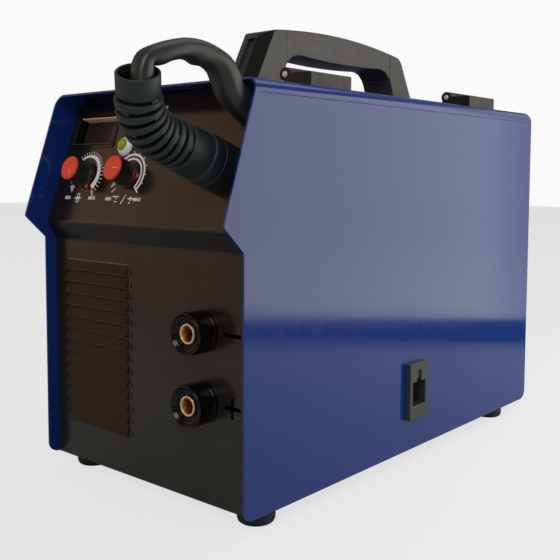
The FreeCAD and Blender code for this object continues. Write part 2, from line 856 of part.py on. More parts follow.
def make_front_panel():
    body = new_body("front_panel")
    fold_z = S.foot_height + S.fold_rise
    sheet_y = S.panel_sheet
    profile = new_sketch(body, "YZ_Plane", "panel_profile", left_inside)
    draw_outline(profile, [
        (panel_face, S.foot_height),
        (panel_back, S.foot_height),
        (panel_back, fold_z),
        (ledge_y + sheet_y, ledge_z),
        (face_top_y + sheet_y, panel_top),
        (face_top_y, panel_top),
        (ledge_y, ledge_z),
        (panel_face, fold_z),
    ])
    pad(body, profile, panel_right - left_inside)
    corners = new_sketch(body, "XZ_Plane", "panel_top_corners", -panel_face)
    round_off = S.bend_radius
    for edge_x, inward, arc in ((left_inside, round_off, -round_off), (panel_right, -round_off, round_off)):
        draw_outline(corners, [
            (edge_x, panel_top - round_off),
            (edge_x + inward, panel_top, arc),
            (edge_x + inward, panel_top + 1),
            (edge_x - inward / 10, panel_top + 1),
            (edge_x - inward / 10, panel_top - round_off),
        ])
    pocket(body, corners)
    left = left_inside + S.louvre_side_inset - S.cover_sheet
    right = left + S.louvre_width
    hood_sketch = new_sketch(body, "YZ_Plane", "louvre_hood", left)
    draw_outline(hood_sketch, louvre_outline(S.louvre_depth, ZERO))
    hood_pad = pad(body, hood_sketch, S.louvre_width)
    slot_sketch = new_sketch(body, "YZ_Plane", "louvre_slot", left + S.louvre_width / 2)
    draw_outline(slot_sketch, louvre_outline(S.louvre_depth - S.louvre_wall, S.louvre_wall))
    slot_width = S.louvre_width - S.louvre_end_taper * 2 - S.louvre_wall * 2
    slot_pocket = pocket(body, slot_sketch, slot_width)
    taper_sketch = new_sketch(body, "XZ_Plane", "louvre_taper", -panel_face)
    low = S.foot_height + S.louvre_first_rise + S.louvre_lip
    high = S.foot_height + S.louvre_first_rise + S.louvre_height
    draw_outline(taper_sketch, [(left, low), (left + S.louvre_end_taper, high), (left, high)])
    draw_outline(taper_sketch, [(right, low), (right, high), (right - S.louvre_end_taper, high)])
    taper_pocket = body.newObject("PartDesign::Pocket", "louvre_taper_pocket")
    taper_pocket.Profile = taper_sketch
    taper_pocket.Reversed = True
    bind(taper_pocket, Length=S.louvre_depth + 1)
    rows = body.newObject("PartDesign::LinearPattern", "louvre_rows")
    rows.Originals = [hood_pad, slot_pocket, taper_pocket]
    rows.Direction = (profile, ["V_Axis"])
    rows.Mode = "Spacing"
    bind(rows, Offset=S.louvre_pitch, Occurrences=S.louvre_count)
    body.Tip = rows
    openings = new_sketch(body, "XZ_Plane", "lower_openings", -panel_face)
    for x, z in socket_places():
        draw_circle(openings, x, z, S.socket_neck_radius + S.panel_hole_clearance)
        mark = x + S.polarity_mark_offset
        arm = S.polarity_mark_width / 2
        reach = S.polarity_mark_length / 2
        tall = S.polarity_mark_height / 2
        if z is socket_places.minus:
            draw_box(openings, mark - reach, z - arm, mark + reach, z + arm)
        else:
            draw_outline(openings, [
                (mark - reach, z - arm), (mark - arm, z - arm), (mark - arm, z - tall),
                (mark + arm, z - tall), (mark + arm, z - arm), (mark + reach, z - arm),
                (mark + reach, z + arm), (mark + arm, z + arm), (mark + arm, z + tall),
                (mark - arm, z + tall), (mark - arm, z + arm), (mark - reach, z + arm),
            ])
    pocket(body, openings, S.panel_sheet * 4)
    controls = face_sketch(body, "face_openings")
    clear = S.panel_hole_clearance
    for across in (knob_left_x, knob_right_x):
        draw_circle(controls, across, S.knob_up, S.bushing_radius + clear)
    draw_circle(controls, lamp_x, S.lamp_up, S.lamp_barrel_radius + clear)
    draw_circle(controls, sleeve_x, S.sleeve_up, S.sleeve_neck_radius + clear)
    draw_circle(controls, grip_foot_x, S.grip_foot_up, S.grip_bolt_radius + clear)
    wide = S.display_width / 2 + clear
    tall = S.display_height / 2 + clear
    draw_box(controls, display_x - wide, S.display_up - tall,
             display_x + wide, S.display_up + tall)
    pocket(body, controls, S.panel_sheet * 6)
    nodes["front_panel"] = body


# Output sockets: a moulded insulating body and a turned brass contact each.
def socket_places():
    x = half_width - S.socket_side_inset
    minus = S.foot_height + S.socket_minus_rise
    socket_places.minus = minus
    return [(x, minus), (x, minus - S.socket_spacing)]


def make_sockets():
    for name, (x, z) in zip(("socket_minus", "socket_plus"), socket_places()):
        tail = -(S.panel_sheet + S.socket_neck_length)
        nut = -(S.panel_sheet + S.socket_nut_height)
        bowl = S.socket_length - S.socket_bowl_depth
        nodes[name + "_body"] = spun(name + "_body", [
            (S.contact_radius, tail),
            (S.socket_neck_radius, tail),
            (S.socket_neck_radius, nut),
            (S.socket_nut_radius, nut),
            (S.socket_nut_radius, -S.panel_sheet),
            (S.socket_neck_radius, -S.panel_sheet),
            (S.socket_neck_radius, ZERO),
            (S.socket_radius, ZERO),
            (S.socket_radius, S.socket_length - 1),
            (S.socket_radius - 1, S.socket_length),
            (S.socket_bowl_radius, S.socket_length),
            (S.socket_bowl_radius, bowl),
            (S.contact_radius, bowl),
        ], (x, panel_face, z), FACING_FRONT)
        mouth = S.socket_length - S.contact_stand_out
        bottom = mouth - S.contact_bore_depth
        end = tail - S.contact_stud_length
        nodes[name + "_contact"] = spun(name + "_contact", [
            (ZERO, end),
            (S.contact_stud_radius, end),
            (S.contact_stud_radius, tail),
            (S.contact_radius, tail),
            (S.contact_radius, mouth),
            (S.contact_bore_radius, mouth),
            (S.contact_bore_radius, bottom),
            (ZERO, bottom),
        ], (x, panel_face, z), FACING_FRONT)


# Knobs: black moulded body, red cap and pointer skirt, on a turning spindle that
# runs in the bushing of a potentiometer behind the sloping face.
def make_knobs():
    potentiometers = []
    for side, across, angle in (("left", knob_left_x, S.left_pointer_angle),
                                ("right", knob_right_x, S.right_pointer_angle)):
        at = on_face(across, S.knob_up, 0)
        floor = S.skirt_lift + S.skirt_height
        bore_end = floor + S.knob_cavity_depth
        top = S.knob_length
        bore_top = bore_end + S.spindle_bore_depth
        nodes[f"knob_{side}_body"] = spun(f"knob_{side}_body", [
            (S.knob_cavity_radius, floor),
            (S.knob_foot_radius, floor),
            (S.knob_foot_radius, floor + S.knob_foot_height),
            (S.knob_radius, floor + S.knob_foot_height),
            (S.knob_radius, top),
            (ZERO, top),
            (ZERO, bore_top),
            (S.spindle_radius, bore_top),
            (S.spindle_radius, bore_end),
            (S.knob_cavity_radius, bore_end),
        ], at, FACE_TURN)
        cap = spun(f"knob_{side}_cap", [
            (ZERO, top),
            (S.knob_cap_radius, top),
            (S.knob_cap_radius, top + S.knob_cap_height / 2),
            (S.knob_cap_radius - S.knob_cap_height / 2, top + S.knob_cap_height),
            (ZERO, top + S.knob_cap_height),
        ], at, FACE_TURN)
        nodes[f"knob_{side}_trim"] = group(f"knob_{side}_trim", [cap, make_skirt(side, at, angle)])
        nodes[f"knob_{side}_spindle"] = spun(f"knob_{side}_spindle", [
            (ZERO, -S.pot_depth / 2),
            (S.spindle_radius, -S.pot_depth / 2),
            (S.spindle_radius, bore_top),
            (ZERO, bore_top),
        ], at, FACE_TURN)
        sleeve = S.spindle_radius + S.spindle_clearance
        rear = -(face_thickness + S.pot_depth)
        potentiometers.append(spun(f"potentiometer_{side}", [
            (ZERO, rear),
            (S.pot_radius, rear),
            (S.pot_radius, -face_thickness),
            (S.bushing_radius, -face_thickness),
            (S.bushing_radius, ZERO),
            (S.pot_nut_radius, ZERO),
            (S.pot_nut_radius, S.pot_nut_height),
            (S.bushing_radius, S.pot_nut_height),
            (S.bushing_radius, S.bushing_height),
            (sleeve, S.bushing_height),
            (sleeve, -S.pot_depth / 2 - S.skirt_lift),
            (ZERO, -S.pot_depth / 2 - S.skirt_lift),
        ], at, FACE_TURN))
    nodes["potentiometers"] = group("potentiometers", potentiometers)


def make_skirt(side, at, angle):
    body = new_body(f"knob_{side}_skirt")
    ring = new_sketch(body, "XY_Plane", f"skirt_{side}_ring", S.skirt_lift)
    draw_circle(ring, ZERO, ZERO, S.skirt_radius)
    draw_circle(ring, ZERO, ZERO, S.knob_cavity_radius)
    pad(body, ring, S.skirt_height)
    pointer = new_sketch(body, "XY_Plane", f"skirt_{side}_pointer", S.skirt_lift)
    run, rise = cosine(angle), sine(angle)
    root_reach = S.skirt_radius - S.pointer_half_width / 2
    half = S.pointer_half_width
    corners = [(root_reach, -half), (S.pointer_reach, ZERO), (root_reach, half)]
    draw_outline(pointer, [(r * run - w * rise, r * rise + w * run) for r, w in corners])
    pad(body, pointer, S.skirt_height)
    return put(body, at, FACE_TURN)


# Meter window, sunk in a moulded frame, with its board behind.
def make_display():
    x, up = display_x, S.display_up
    wide, tall = S.display_width / 2, S.display_height / 2
    lip = S.display_lip
    depth = S.display_recess + S.display_window_thickness
    flange = face_box("display_flange", (x - wide - lip, up - tall - lip, ZERO),
                      (x + wide + lip, up + tall + lip, S.display_lip_height))
    shell = face_box("display_shell", (x - wide, up - tall, -depth), (x + wide, up + tall, ZERO))
    inner_x, inner_up = wide - S.display_wall, tall - S.display_wall
    hollow = face_box("display_hollow", (x - inner_x, up - inner_up, -depth - 1),
                      (x + inner_x, up + inner_up, S.display_lip_height + 1))
    nodes["display_frame"] = cut("display_frame", fuse("display_outer", [flange, shell]), [hollow])
    nodes["display_window"] = face_box("display_window", (x - inner_x, up - inner_up, -depth),
                                       (x + inner_x, up + inner_up, -S.display_recess))
    board_low = -depth - S.display_board_gap - S.display_board_thickness
    board = face_box("display_card", (x - wide, up - tall, board_low),
                     (x + wide, up + tall, board_low + S.display_board_thickness))
    digits = face_box("display_digits", (x - inner_x + 1, up - inner_up + 1, board_low),
                      (x + inner_x - 1, up + inner_up - 1, -depth))
    circuit_boards.append(fuse("display_board", [board, digits]))


# Pilot lamp: white bezel with its barrel through the panel, and a domed lens.
def make_lamp():
    at = on_face(lamp_x, S.lamp_up, 0)
    bore = S.lamp_lens_radius + S.lamp_clearance
    rear = -S.lamp_barrel_length
    nodes["lamp_bezel"] = spun("lamp_bezel", [
        (ZERO, rear),
        (S.lamp_barrel_radius, rear),
        (S.lamp_barrel_radius, ZERO),
        (S.lamp_bezel_radius, ZERO),
        (S.lamp_bezel_radius, S.lamp_bezel_height / 4),
        (bore, S.lamp_bezel_height),
        (bore, rear / 2),
        (ZERO, rear / 2),
    ], at, FACE_TURN)
    rim = S.lamp_bezel_height
    crown = rim + S.lamp_lens_height
    dome = (S.lamp_lens_radius * S.lamp_lens_radius + S.lamp_lens_height * S.lamp_lens_height) / (
        S.lamp_lens_height * 2)
    nodes["lamp_lens"] = spun("lamp_lens", [
        (ZERO, rear / 2),
        (S.lamp_lens_radius, rear / 2),
        (S.lamp_lens_radius, rim),
        (ZERO, crown, dome),
    ], at, FACE_TURN)


# Torch sleeve: one rubber moulding. A straight smooth base leaves the sloping face
# squarely, the ribs follow a bend, and the end is an open collar.
def sleeve_frame(along):
    """Centre and direction of the sleeve's line at a distance from the panel."""
    tilt = math.radians(S.face_tilt.value)
    out = Vector(0, -math.cos(tilt), math.sin(tilt))
    up = Vector(0, math.sin(tilt), math.cos(tilt))
    turn = math.radians(S.sleeve_bend_turn.value)
    side = up * math.cos(turn) + Vector(1, 0, 0) * math.sin(turn)
    base = Vector(*[size.value for size in on_face(sleeve_x, S.sleeve_up, 0)])
    straight = S.sleeve_straight.value
    radius = S.sleeve_bend_radius.value
    bend = math.radians(S.sleeve_bend_angle.value)
    if along <= straight:
        return base + out * along, out
    angle = min((along - straight) / radius, bend)
    centre = base + out * (straight + radius * math.sin(angle)) + side * (radius * (1 - math.cos(angle)))
    direction = out * math.cos(angle) + side * math.sin(angle)
    over = along - straight - radius * angle
    return centre + direction * max(over, 0), direction


def sleeve_length():
    bend = math.radians(S.sleeve_bend_angle.value) * S.sleeve_bend_radius.value
    return S.sleeve_straight.value + bend + S.sleeve_collar_length.value


def ring_wire(along, radius):
    """A circle round the sleeve's line, with its start held on one steady axis."""
    centre, direction = sleeve_frame(along)
    steady = Vector(1, 0, 0)
    across = (steady - direction * steady.dot(direction)).normalize()
    circle = Part.Circle(Part.Circle(centre, direction, radius))
    circle.XAxis = across
    return Part.Wire([circle.toShape()])


def ruled(stations):
    return Part.makeLoft([ring_wire(along, radius) for along, radius in stations], True, True)


def rib_stations():
    """Four circles a rib: root, crest, crest, root, over the ribbed length."""
    first = S.sleeve_base_length.value + S.sleeve_step_length.value
    last = sleeve_length() - S.sleeve_collar_length.value
    count = int(S.sleeve_rib_count.value)
    pitch = (last - first) / count
    depth = S.sleeve_root_depth.value
    stations = []
    for number in range(count):
        share = number / (count - 1)
        crest = S.sleeve_rib_radius_low.value * (1 - share) + S.sleeve_rib_radius_high.value * share
        start = first + pitch * number
        stations += [
            (start + pitch * 0.08, crest - depth),
            (start + pitch * 0.28, crest),
            (start + pitch * 0.72, crest),
            (start + pitch * 0.92, crest - depth),
        ]
    return stations


def make_sleeve():
    end = sleeve_length()
    base = S.sleeve_base_length.value
    step = base + S.sleeve_step_length.value
    neck = S.sleeve_neck_radius.value
    base_radius = S.sleeve_base_radius.value
    step_radius = S.sleeve_step_radius.value
    root_high = S.sleeve_rib_radius_high.value - S.sleeve_root_depth.value
    collar = S.sleeve_collar_radius.value
    collar_low = end - S.sleeve_collar_length.value
    outer = ruled([(0, base_radius), (base - 1.5, base_radius), (base, base_radius - 1.0)]
                  + [(base + 0.4, step_radius), (step, step_radius)]
                  + rib_stations()
                  + [(collar_low, root_high), (collar_low + 0.8, collar), (end, collar)])
    neck_solid = ruled([(-S.sleeve_neck_length.value, neck), (0.5, neck)])
    bore = S.sleeve_bore_radius.value
    wide = S.sleeve_collar_bore_radius.value
    ledge = end - S.sleeve_collar_bore_depth.value
    straight = S.sleeve_straight.value
    bends = [straight + (collar_low - straight) * share / 8 for share in range(9)]
    inner = ruled([(-S.sleeve_neck_length.value - 1, bore)] + [(along, bore) for along in bends]
                  + [(ledge, bore), (ledge + 0.5, wide), (end + 1, wide)])
    shape = outer.fuse(neck_solid).cut(inner).removeSplitter()
    sleeve = add("Part::Feature", "torch_sleeve")
    sleeve.Shape = shape
    nodes["torch_sleeve"] = sleeve
    nut_low = -(face_thickness + S.sleeve_nut_height)
    hole = S.sleeve_neck_radius + S.panel_hole_clearance
    nodes["sleeve_nut"] = spun("sleeve_nut", [
        (hole, nut_low),
        (S.sleeve_nut_radius, nut_low),
        (S.sleeve_nut_radius, -face_thickness),
        (hole, -face_thickness),
    ], on_face(sleeve_x, S.sleeve_up, 0), FACE_TURN)


# Finger grip: a moulded bar that rises out of the sleeve's collar, arches back with
# finger bumps under it and comes down into a seat at the panel's top right.
def grip_centres():
    """The centre line from inside the collar to the foot on the panel, each point
    with the grip's half depth and half width there."""
    end, direction = sleeve_frame(sleeve_length())
    start = end - direction * S.grip_tip_sink.value + Vector(S.grip_tip_aside.value, 0, 0)
    foot = Vector(*[size.value for size in on_face(grip_foot_x, S.grip_foot_up, 0)])
    rise = S.grip_rise.value
    bar, bar_wide = S.grip_bar_half_depth.value, S.grip_bar_half_width.value
    leg, leg_wide = S.grip_leg_half_depth.value, S.grip_leg_half_width.value
    tip = S.grip_tip_half.value
    bump = S.grip_finger_bump.value
    shares = [
        (0.001, 0.570, tip - 0.7, tip - 0.2),
        (0.011, 0.725, tip - 1.9, tip),
        (0.048, 0.820, tip - 1.9, tip + 0.8),
        (0.140, 0.892, bar - 0.3, bar_wide - 0.4),
        (0.223, 0.958, bar - 0.2, bar_wide),
        (0.314, 1.010, bar, bar_wide),
        (0.399, 1.012, bar + bump * 0.3, bar_wide),
        (0.479, 0.975, bar + bump * 0.7, bar_wide),
        (0.560, 0.920, bar + bump * 0.6, bar_wide + 0.2),
        (0.640, 0.800, leg - 2.8, leg_wide - 0.2),
        (0.693, 0.605, leg - 1.9, leg_wide),
        (0.744, 0.377, leg - 1.6, leg_wide),
        (0.850, 0.183, leg - 1.1, leg_wide),
    ]
    centres = [(start, tip, tip)]
    for along, height, half_depth, half_width in shares:
        centre = start + (foot - start) * along
        centre.z = foot.z + rise * height
        centres.append((centre, half_depth, half_width))
    tilt = math.radians(S.face_tilt.value)
    out = Vector(0, -math.cos(tilt), math.sin(tilt))
    centres.append((foot + out * (S.grip_seat_height.value + 1), leg_wide, leg_wide))
    return centres


def grip_wire(centre, direction, half_depth, half_width):
    """An oval across the grip, drawn from one steady side so the loft can't twist."""
    side = (Vector(1, 0, 0) - direction * direction.x).normalize()
    lift = side.cross(direction)
    points = []
    for number in range(12):
        turn = math.radians(30.0 * number)
        points.append(centre + side * (half_width * math.cos(turn)) + lift * (half_depth * math.sin(turn)))
    curve = Part.BSplineCurve()
    curve.interpolate(points, PeriodicFlag=True)
    return Part.Wire([curve.toShape()])


def make_grip():
    centres = grip_centres()
    tilt = math.radians(S.face_tilt.value)
    inward = Vector(0, math.cos(tilt), -math.sin(tilt))
    line = Part.BSplineCurve()
    line.interpolate([centre for centre, half_depth, half_width in centres])
    wires = []
    for centre, half_depth, half_width in centres:
        direction = line.tangent(line.parameter(centre))[0]
        if centre is centres[-1][0]:
            direction = inward
        wires.append(grip_wire(centre, direction, half_depth, half_width))
    foot_length = S.grip_seat_height.value + 1
    foot = Part.Face(wires[-1]).extrude(inward * foot_length)
    grip = add("Part::Feature", "front_grip")
    grip.Shape = Part.makeLoft(wires, True, False).fuse(foot)
    nodes["front_grip"] = grip
    at = on_face(grip_foot_x, S.grip_foot_up, 0)
    inner = S.grip_seat_radius - S.grip_seat_wall + S.latch_fit
    nodes["grip_seat"] = spun("grip_seat", [
        (inner, ZERO),
        (S.grip_seat_radius, ZERO),
        (S.grip_seat_radius, S.grip_seat_height - 1.5),
        (S.grip_seat_radius - 1.5, S.grip_seat_height),
        (inner, S.grip_seat_height),
    ], at, FACE_TURN)


# Carry handle: a moulded bow along the hood, with a plain grip bar between two
# end mouldings, held by screws from inside.
def handle_profile():
    mid = S.handle_shift
    low = case_top
    end = low + S.handle_end_rise
    front = low + S.handle_front_rise
    top = S.handle_top_span / 2
    foot = S.handle_foot_span / 2
    sag = S.handle_crown
    lean = (S.handle_front_rise - S.handle_end_rise) / 2
    crown = (top * top + lean * lean + sag * sag) / (sag * 2)
    opening = S.handle_opening_span / 2
    roof_half = opening - S.handle_opening_lean
    roof = low + S.handle_opening_rise
    palm = S.handle_palm_drop
    palm_arc = (roof_half * roof_half + palm * palm) / (palm * 2)
    return [
        (mid - foot, low),
        (mid - opening, low),
        (mid - roof_half, roof),
        (mid + roof_half, roof, palm_arc),
        (mid + opening, low),
        (mid + foot, low),
        (mid + top, end),
        (mid - top, front, crown),
    ]


def make_handle():
    body = new_body("handle_bow")
    sketch = new_sketch(body, "YZ_Plane", "handle_side_view")
    draw_outline(sketch, handle_profile())
    pad(body, sketch, S.handle_width, True)
    across = Vector(1, 0, 0)
    tops = [case_top + S.handle_end_rise, case_top + S.handle_front_rise]
    soften(body, "Fillet", "handle_top_corners", S.handle_corner_radius,
           lambda edge: runs_along(edge, across) and any(near(middle(edge).z, top) for top in tops))
    soften(body, "Fillet", "handle_opening_corners", S.handle_opening_corner,
           lambda edge: runs_along(edge, across) and near(middle(edge).z, case_top + S.handle_opening_rise))
    reach = S.handle_width / 2
    soften(body, "Fillet", "handle_soft_edges", S.handle_edge_radius,
           lambda edge: near(abs(middle(edge).x), reach) and middle(edge).z > case_top.value + 5)
    mid = S.handle_shift
    half = S.handle_cap_span / 2
    low = (-S.handle_width, mid - half, case_top)
    high = (S.handle_width, mid + half, case_top + S.handle_front_rise * 2)
    bar = add("Part::Common", "carry_handle_grip")
    bar.Base = body
    bar.Tool = box("handle_middle", low, high)
    nodes["carry_handle_grip"] = bar
    ends = cut("handle_ends_bare", body, [box("handle_middle_again", low, high)])
    bores, holes = [], []
    for end, side in (("front", -1), ("rear", 1)):
        y = mid + (S.handle_foot_span / 2 - S.handle_screw_inset) * side
        head_z = hood_under - S.handle_screw_head_height
        radius, reach = S.handle_screw_radius, S.handle_screw_reach
        case_screws.append(fuse(f"handle_{end}_screw", [
            rod(f"handle_{end}_head", (ZERO, y, head_z), S.handle_screw_head_radius,
                S.handle_screw_head_height),
            rod(f"handle_{end}_shank", (ZERO, y, hood_under), radius, reach),
        ]))
        bores.append(rod(f"handle_{end}_bore", (ZERO, y, hood_under), radius, reach))
        holes.append(rod(f"hood_{end}_hole", (ZERO, y, hood_under), radius, reach))
    nodes["carry_handle_ends"] = cut("carry_handle_ends", ends, bores)
    drill("cover_shell", holes)


# Hinges: on each a plate with one knuckle is fixed to the hood, and a thick leaf
# with two knuckles is fixed to the door. A pin runs through all three.
def make_hinges():
    fixed, moving, pins = [], [], []
    barrel = S.hinge_barrel_radius
    for name, place in (("front", S.hinge_front_place), ("rear", S.hinge_rear_place)):
        low_y = place - S.hinge_length / 2
        high_y = place + S.hinge_length / 2
        knuckle_low = place - S.hinge_knuckle / 2
        knuckle_high = place + S.hinge_knuckle / 2
        bore = rod(f"hinge_{name}_bore", (hinge_x, low_y - 1, hinge_z),
                   S.hinge_pin_radius + S.hinge_pin_clearance, S.hinge_length + 2, "Y")
        gap = S.hinge_knuckle_gap
        leaf = box(f"hinge_{name}_leaf", (hinge_x + S.seam_gap, low_y, case_top),
                   (hinge_x + S.hinge_door_leaf_width, high_y, case_top + S.hinge_door_leaf_height))
        tube = rod(f"hinge_{name}_tube", (hinge_x, low_y, hinge_z), barrel, S.hinge_length, "Y")
        notch = box(f"hinge_{name}_notch", (hinge_x - barrel * 2, knuckle_low - gap, case_top - 1),
                    (hinge_x + barrel + gap, knuckle_high + gap, hinge_z + barrel * 2))
        leaf_blank = fuse(f"hinge_{name}_leaf_blank", [leaf, tube])
        moving.append(cut(f"hinge_{name}_door_leaf", leaf_blank, [notch, bore]))
        plate_right = hinge_x - S.hinge_plate_gap
        plate = box(f"hinge_{name}_plate", (hinge_x - S.hinge_plate_width, low_y, case_top),
                    (plate_right, high_y, case_top + S.hinge_plate_thickness))
        web = box(f"hinge_{name}_web", (plate_right - S.hinge_plate_gap, knuckle_low, case_top),
                  (hinge_x - S.seam_gap * 2, knuckle_high, case_top + S.hinge_web_height))
        eye = rod(f"hinge_{name}_eye", (hinge_x, knuckle_low, hinge_z), barrel, S.hinge_knuckle, "Y")
        eye_bore = rod(f"hinge_{name}_eye_bore", (hinge_x, low_y - 1, hinge_z),
                       S.hinge_pin_radius + S.hinge_pin_clearance, S.hinge_length + 2, "Y")
        fixed_blank = fuse(f"hinge_{name}_fixed_blank", [plate, web, eye])
        fixed.append(cut(f"hinge_{name}_fixed", fixed_blank, [eye_bore]))
        pins.append(rod(f"hinge_{name}_pin", (hinge_x, low_y, hinge_z), S.hinge_pin_radius,
                        S.hinge_length, "Y"))
    nodes["hinge_fixed_leaves"] = group("hinge_fixed_leaves", fixed)
    nodes["hinge_door_leaves"] = group("hinge_door_leaves", moving)
    nodes["hinge_pins"] = group("hinge_pins", pins)


# Slide latch: a moulded pull with a finger recess, a thumb slide with a hook behind
# the door, and a sheet keeper on the base tray.
def latch_core(room=ZERO):
    """The part of the latch housing that goes through the door, as y and z limits."""
    half = S.latch_width / 2 - S.latch_border + room
    tall = S.latch_height / 2 - S.latch_border + room
    z = S.foot_height + S.latch_rise
    return S.latch_place - half, S.latch_place + half, z - tall, z + tall


def make_latch():
    y = S.latch_place
    z = S.foot_height + S.latch_rise
    half, tall = S.latch_width / 2, S.latch_height / 2
    face = half_width + S.latch_proud
    rear = half_width - S.latch_depth
    low_y, high_y, low_z, high_z = latch_core()
    plate = box("latch_plate", (half_width, y - half, z - tall), (face, y + half, z + tall))
    core = box("latch_core", (rear, low_y, low_z), (half_width, high_y, high_z))
    recess_top = z - S.latch_recess_drop + S.latch_recess_height / 2 - 1
    recess_low = recess_top - S.latch_recess_height
    wide = S.latch_recess_width / 2
    floor = rear + S.latch_back_wall
    recess = box("latch_recess", (floor, y - wide, recess_low), (face + 1, y + wide, recess_top))
    slot_half = S.latch_slot_width / 2
    slot_top = recess_top + S.latch_slot_rise
    slot = box("latch_slot", (floor, y - slot_half, recess_top - 1), (face + 1, y + slot_half, slot_top))
    nib_top = slot_top - 0.5
    nib_low = nib_top - S.latch_nib_height
    way = box("latch_way", (rear - 1, y - slot_half, nib_low - S.latch_travel - 0.5),
              (floor + 1, y + slot_half, slot_top))
    housing = cut("latch_housing", fuse("latch_housing_blank", [plate, core]), [recess, slot, way])
    nodes["latch_housing"] = housing
    nib_half = S.latch_nib_width / 2
    plate_front = rear - S.door_gap
    plate_rear = plate_front - S.latch_plate_thickness
    middle_z = (nib_low + nib_top) / 2
    nib = box("slide_nib", (plate_rear, y - nib_half, nib_low),
              (face - S.latch_nib_sink, y + nib_half, nib_top))
    slide = box("slide_plate", (plate_rear, y - S.latch_plate_width / 2, middle_z - S.latch_plate_height / 2),
                (plate_front, y + S.latch_plate_width / 2, middle_z + S.latch_plate_height / 2))
    hook_rear = plate_rear - S.latch_hook_reach
    hook_top = nib_top
    hook_low = hook_top - S.latch_hook_thickness
    hook_half = S.latch_plate_width / 3
    arm = box("slide_arm", (hook_rear, y - hook_half, hook_low), (plate_rear, y + hook_half, hook_top))
    leg = box("slide_hook", (hook_rear, y - hook_half, hook_low - S.latch_hook_drop),
              (hook_rear + S.latch_hook_thickness, y + hook_half, hook_top))
    nodes["latch_slide"] = fuse("latch_slide", [nib, slide, arm, leg])
    keeper_x = hook_rear + S.latch_hook_thickness + S.keeper_clearance
    keeper_top = hook_low - S.latch_hook_drop - S.keeper_clearance * 2
    keeper_half = S.keeper_width / 2
    wall = box("keeper_wall", (keeper_x, y - keeper_half, tray_top),
               (keeper_x + S.keeper_sheet, y + keeper_half, keeper_top))
    foot = box("keeper_foot", (keeper_x - S.keeper_foot, y - keeper_half, tray_top),
               (keeper_x + S.keeper_sheet, y + keeper_half, tray_top + S.keeper_sheet))
    nodes["latch_keeper"] = fuse("latch_keeper", [wall, foot])


# Rear panel with cooling fan, guard, power switch, mains gland, gas tail and stud.
def make_rear_panel():
    body = new_body("rear_panel")
    sketch = new_sketch(body, "XZ_Plane", "rear_outline", -rear_face)
    round_off = S.bend_radius
    draw_outline(sketch, [
        (left_inside, S.foot_height),
        (panel_right, S.foot_height),
        (panel_right, panel_top - round_off),
        (panel_right - round_off, panel_top, round_off),
        (left_inside + round_off, panel_top),
        (left_inside, panel_top - round_off, round_off),
    ])
    clear = S.panel_hole_clearance
    low = S.foot_height
    draw_circle(sketch, fan_x, low + S.fan_rise, S.fan_size / 2 - S.fan_opening_inset)
    draw_circle(sketch, gland_x, low + S.gland_rise, S.gland_thread_radius + clear)
    draw_circle(sketch, gas_x, low + S.gas_rise, S.gas_tail_radius + clear)
    draw_circle(sketch, ground_x, low + S.ground_rise, S.ground_radius + clear)
    wide = S.switch_width / 2 + clear
    tall = S.switch_height / 2 + clear
    draw_box(sketch, switch_x - wide, switch_z - tall,
             switch_x + wide, switch_z + tall)
    pad(body, sketch, S.rear_sheet)
    nodes["rear_panel"] = body


def make_fan():
    x, z = fan_x, S.foot_height + S.fan_rise
    half = S.fan_size / 2
    low_y = rear_inside - S.fan_depth
    duct = half - S.fan_blade_thickness * 1.5
    shell = box("fan_shell", (x - half, low_y, z - half), (x + half, rear_inside, z + half))
    hole = rod("fan_hole", (x, low_y - 1, z), duct, S.fan_depth + 2, "Y")
    ring = cut("fan_ring", shell, [hole])
    strut_half = S.fan_strut_width / 2
    strut_top = low_y + S.fan_strut_thickness
    cross = [
        box("fan_strut_level", (x - half, low_y, z - strut_half), (x + half, strut_top, z + strut_half)),
        box("fan_strut_upright", (x - strut_half, low_y, z - half), (x + strut_half, strut_top, z + half)),
        rod("fan_motor_plate", (x, low_y, z), S.fan_hub_radius, S.fan_strut_thickness, "Y"),
        rod("fan_axle", (x, low_y, z), S.fan_axle_radius, S.fan_depth / 2, "Y"),
    ]
    nodes["fan_frame"] = fuse("fan_frame", [ring] + cross)
    make_fan_rotor(x, strut_top + 0.5, z, duct)
    rings = []
    guard_radius = half - S.guard_inset
    plane = rear_face + S.guard_wire_radius
    for number in range(int(S.guard_ring_count.value)):
        share = (number + 1) / S.guard_ring_count.value
        torus = add("Part::Torus", f"guard_ring_{number}")
        bind(torus, Radius1=guard_radius * share, Radius2=S.guard_wire_radius)
        rings.append(put(torus, (x, plane, z), FACING_FRONT))
    reach = guard_radius + 4
    rings.append(rod("guard_bar_level", (x - reach, plane, z), S.guard_wire_radius, reach * 2, "X"))
    rings.append(rod("guard_bar_upright", (x, plane, z - reach), S.guard_wire_radius, reach * 2, "Z"))
    nodes["fan_guard"] = fuse("fan_guard", rings)


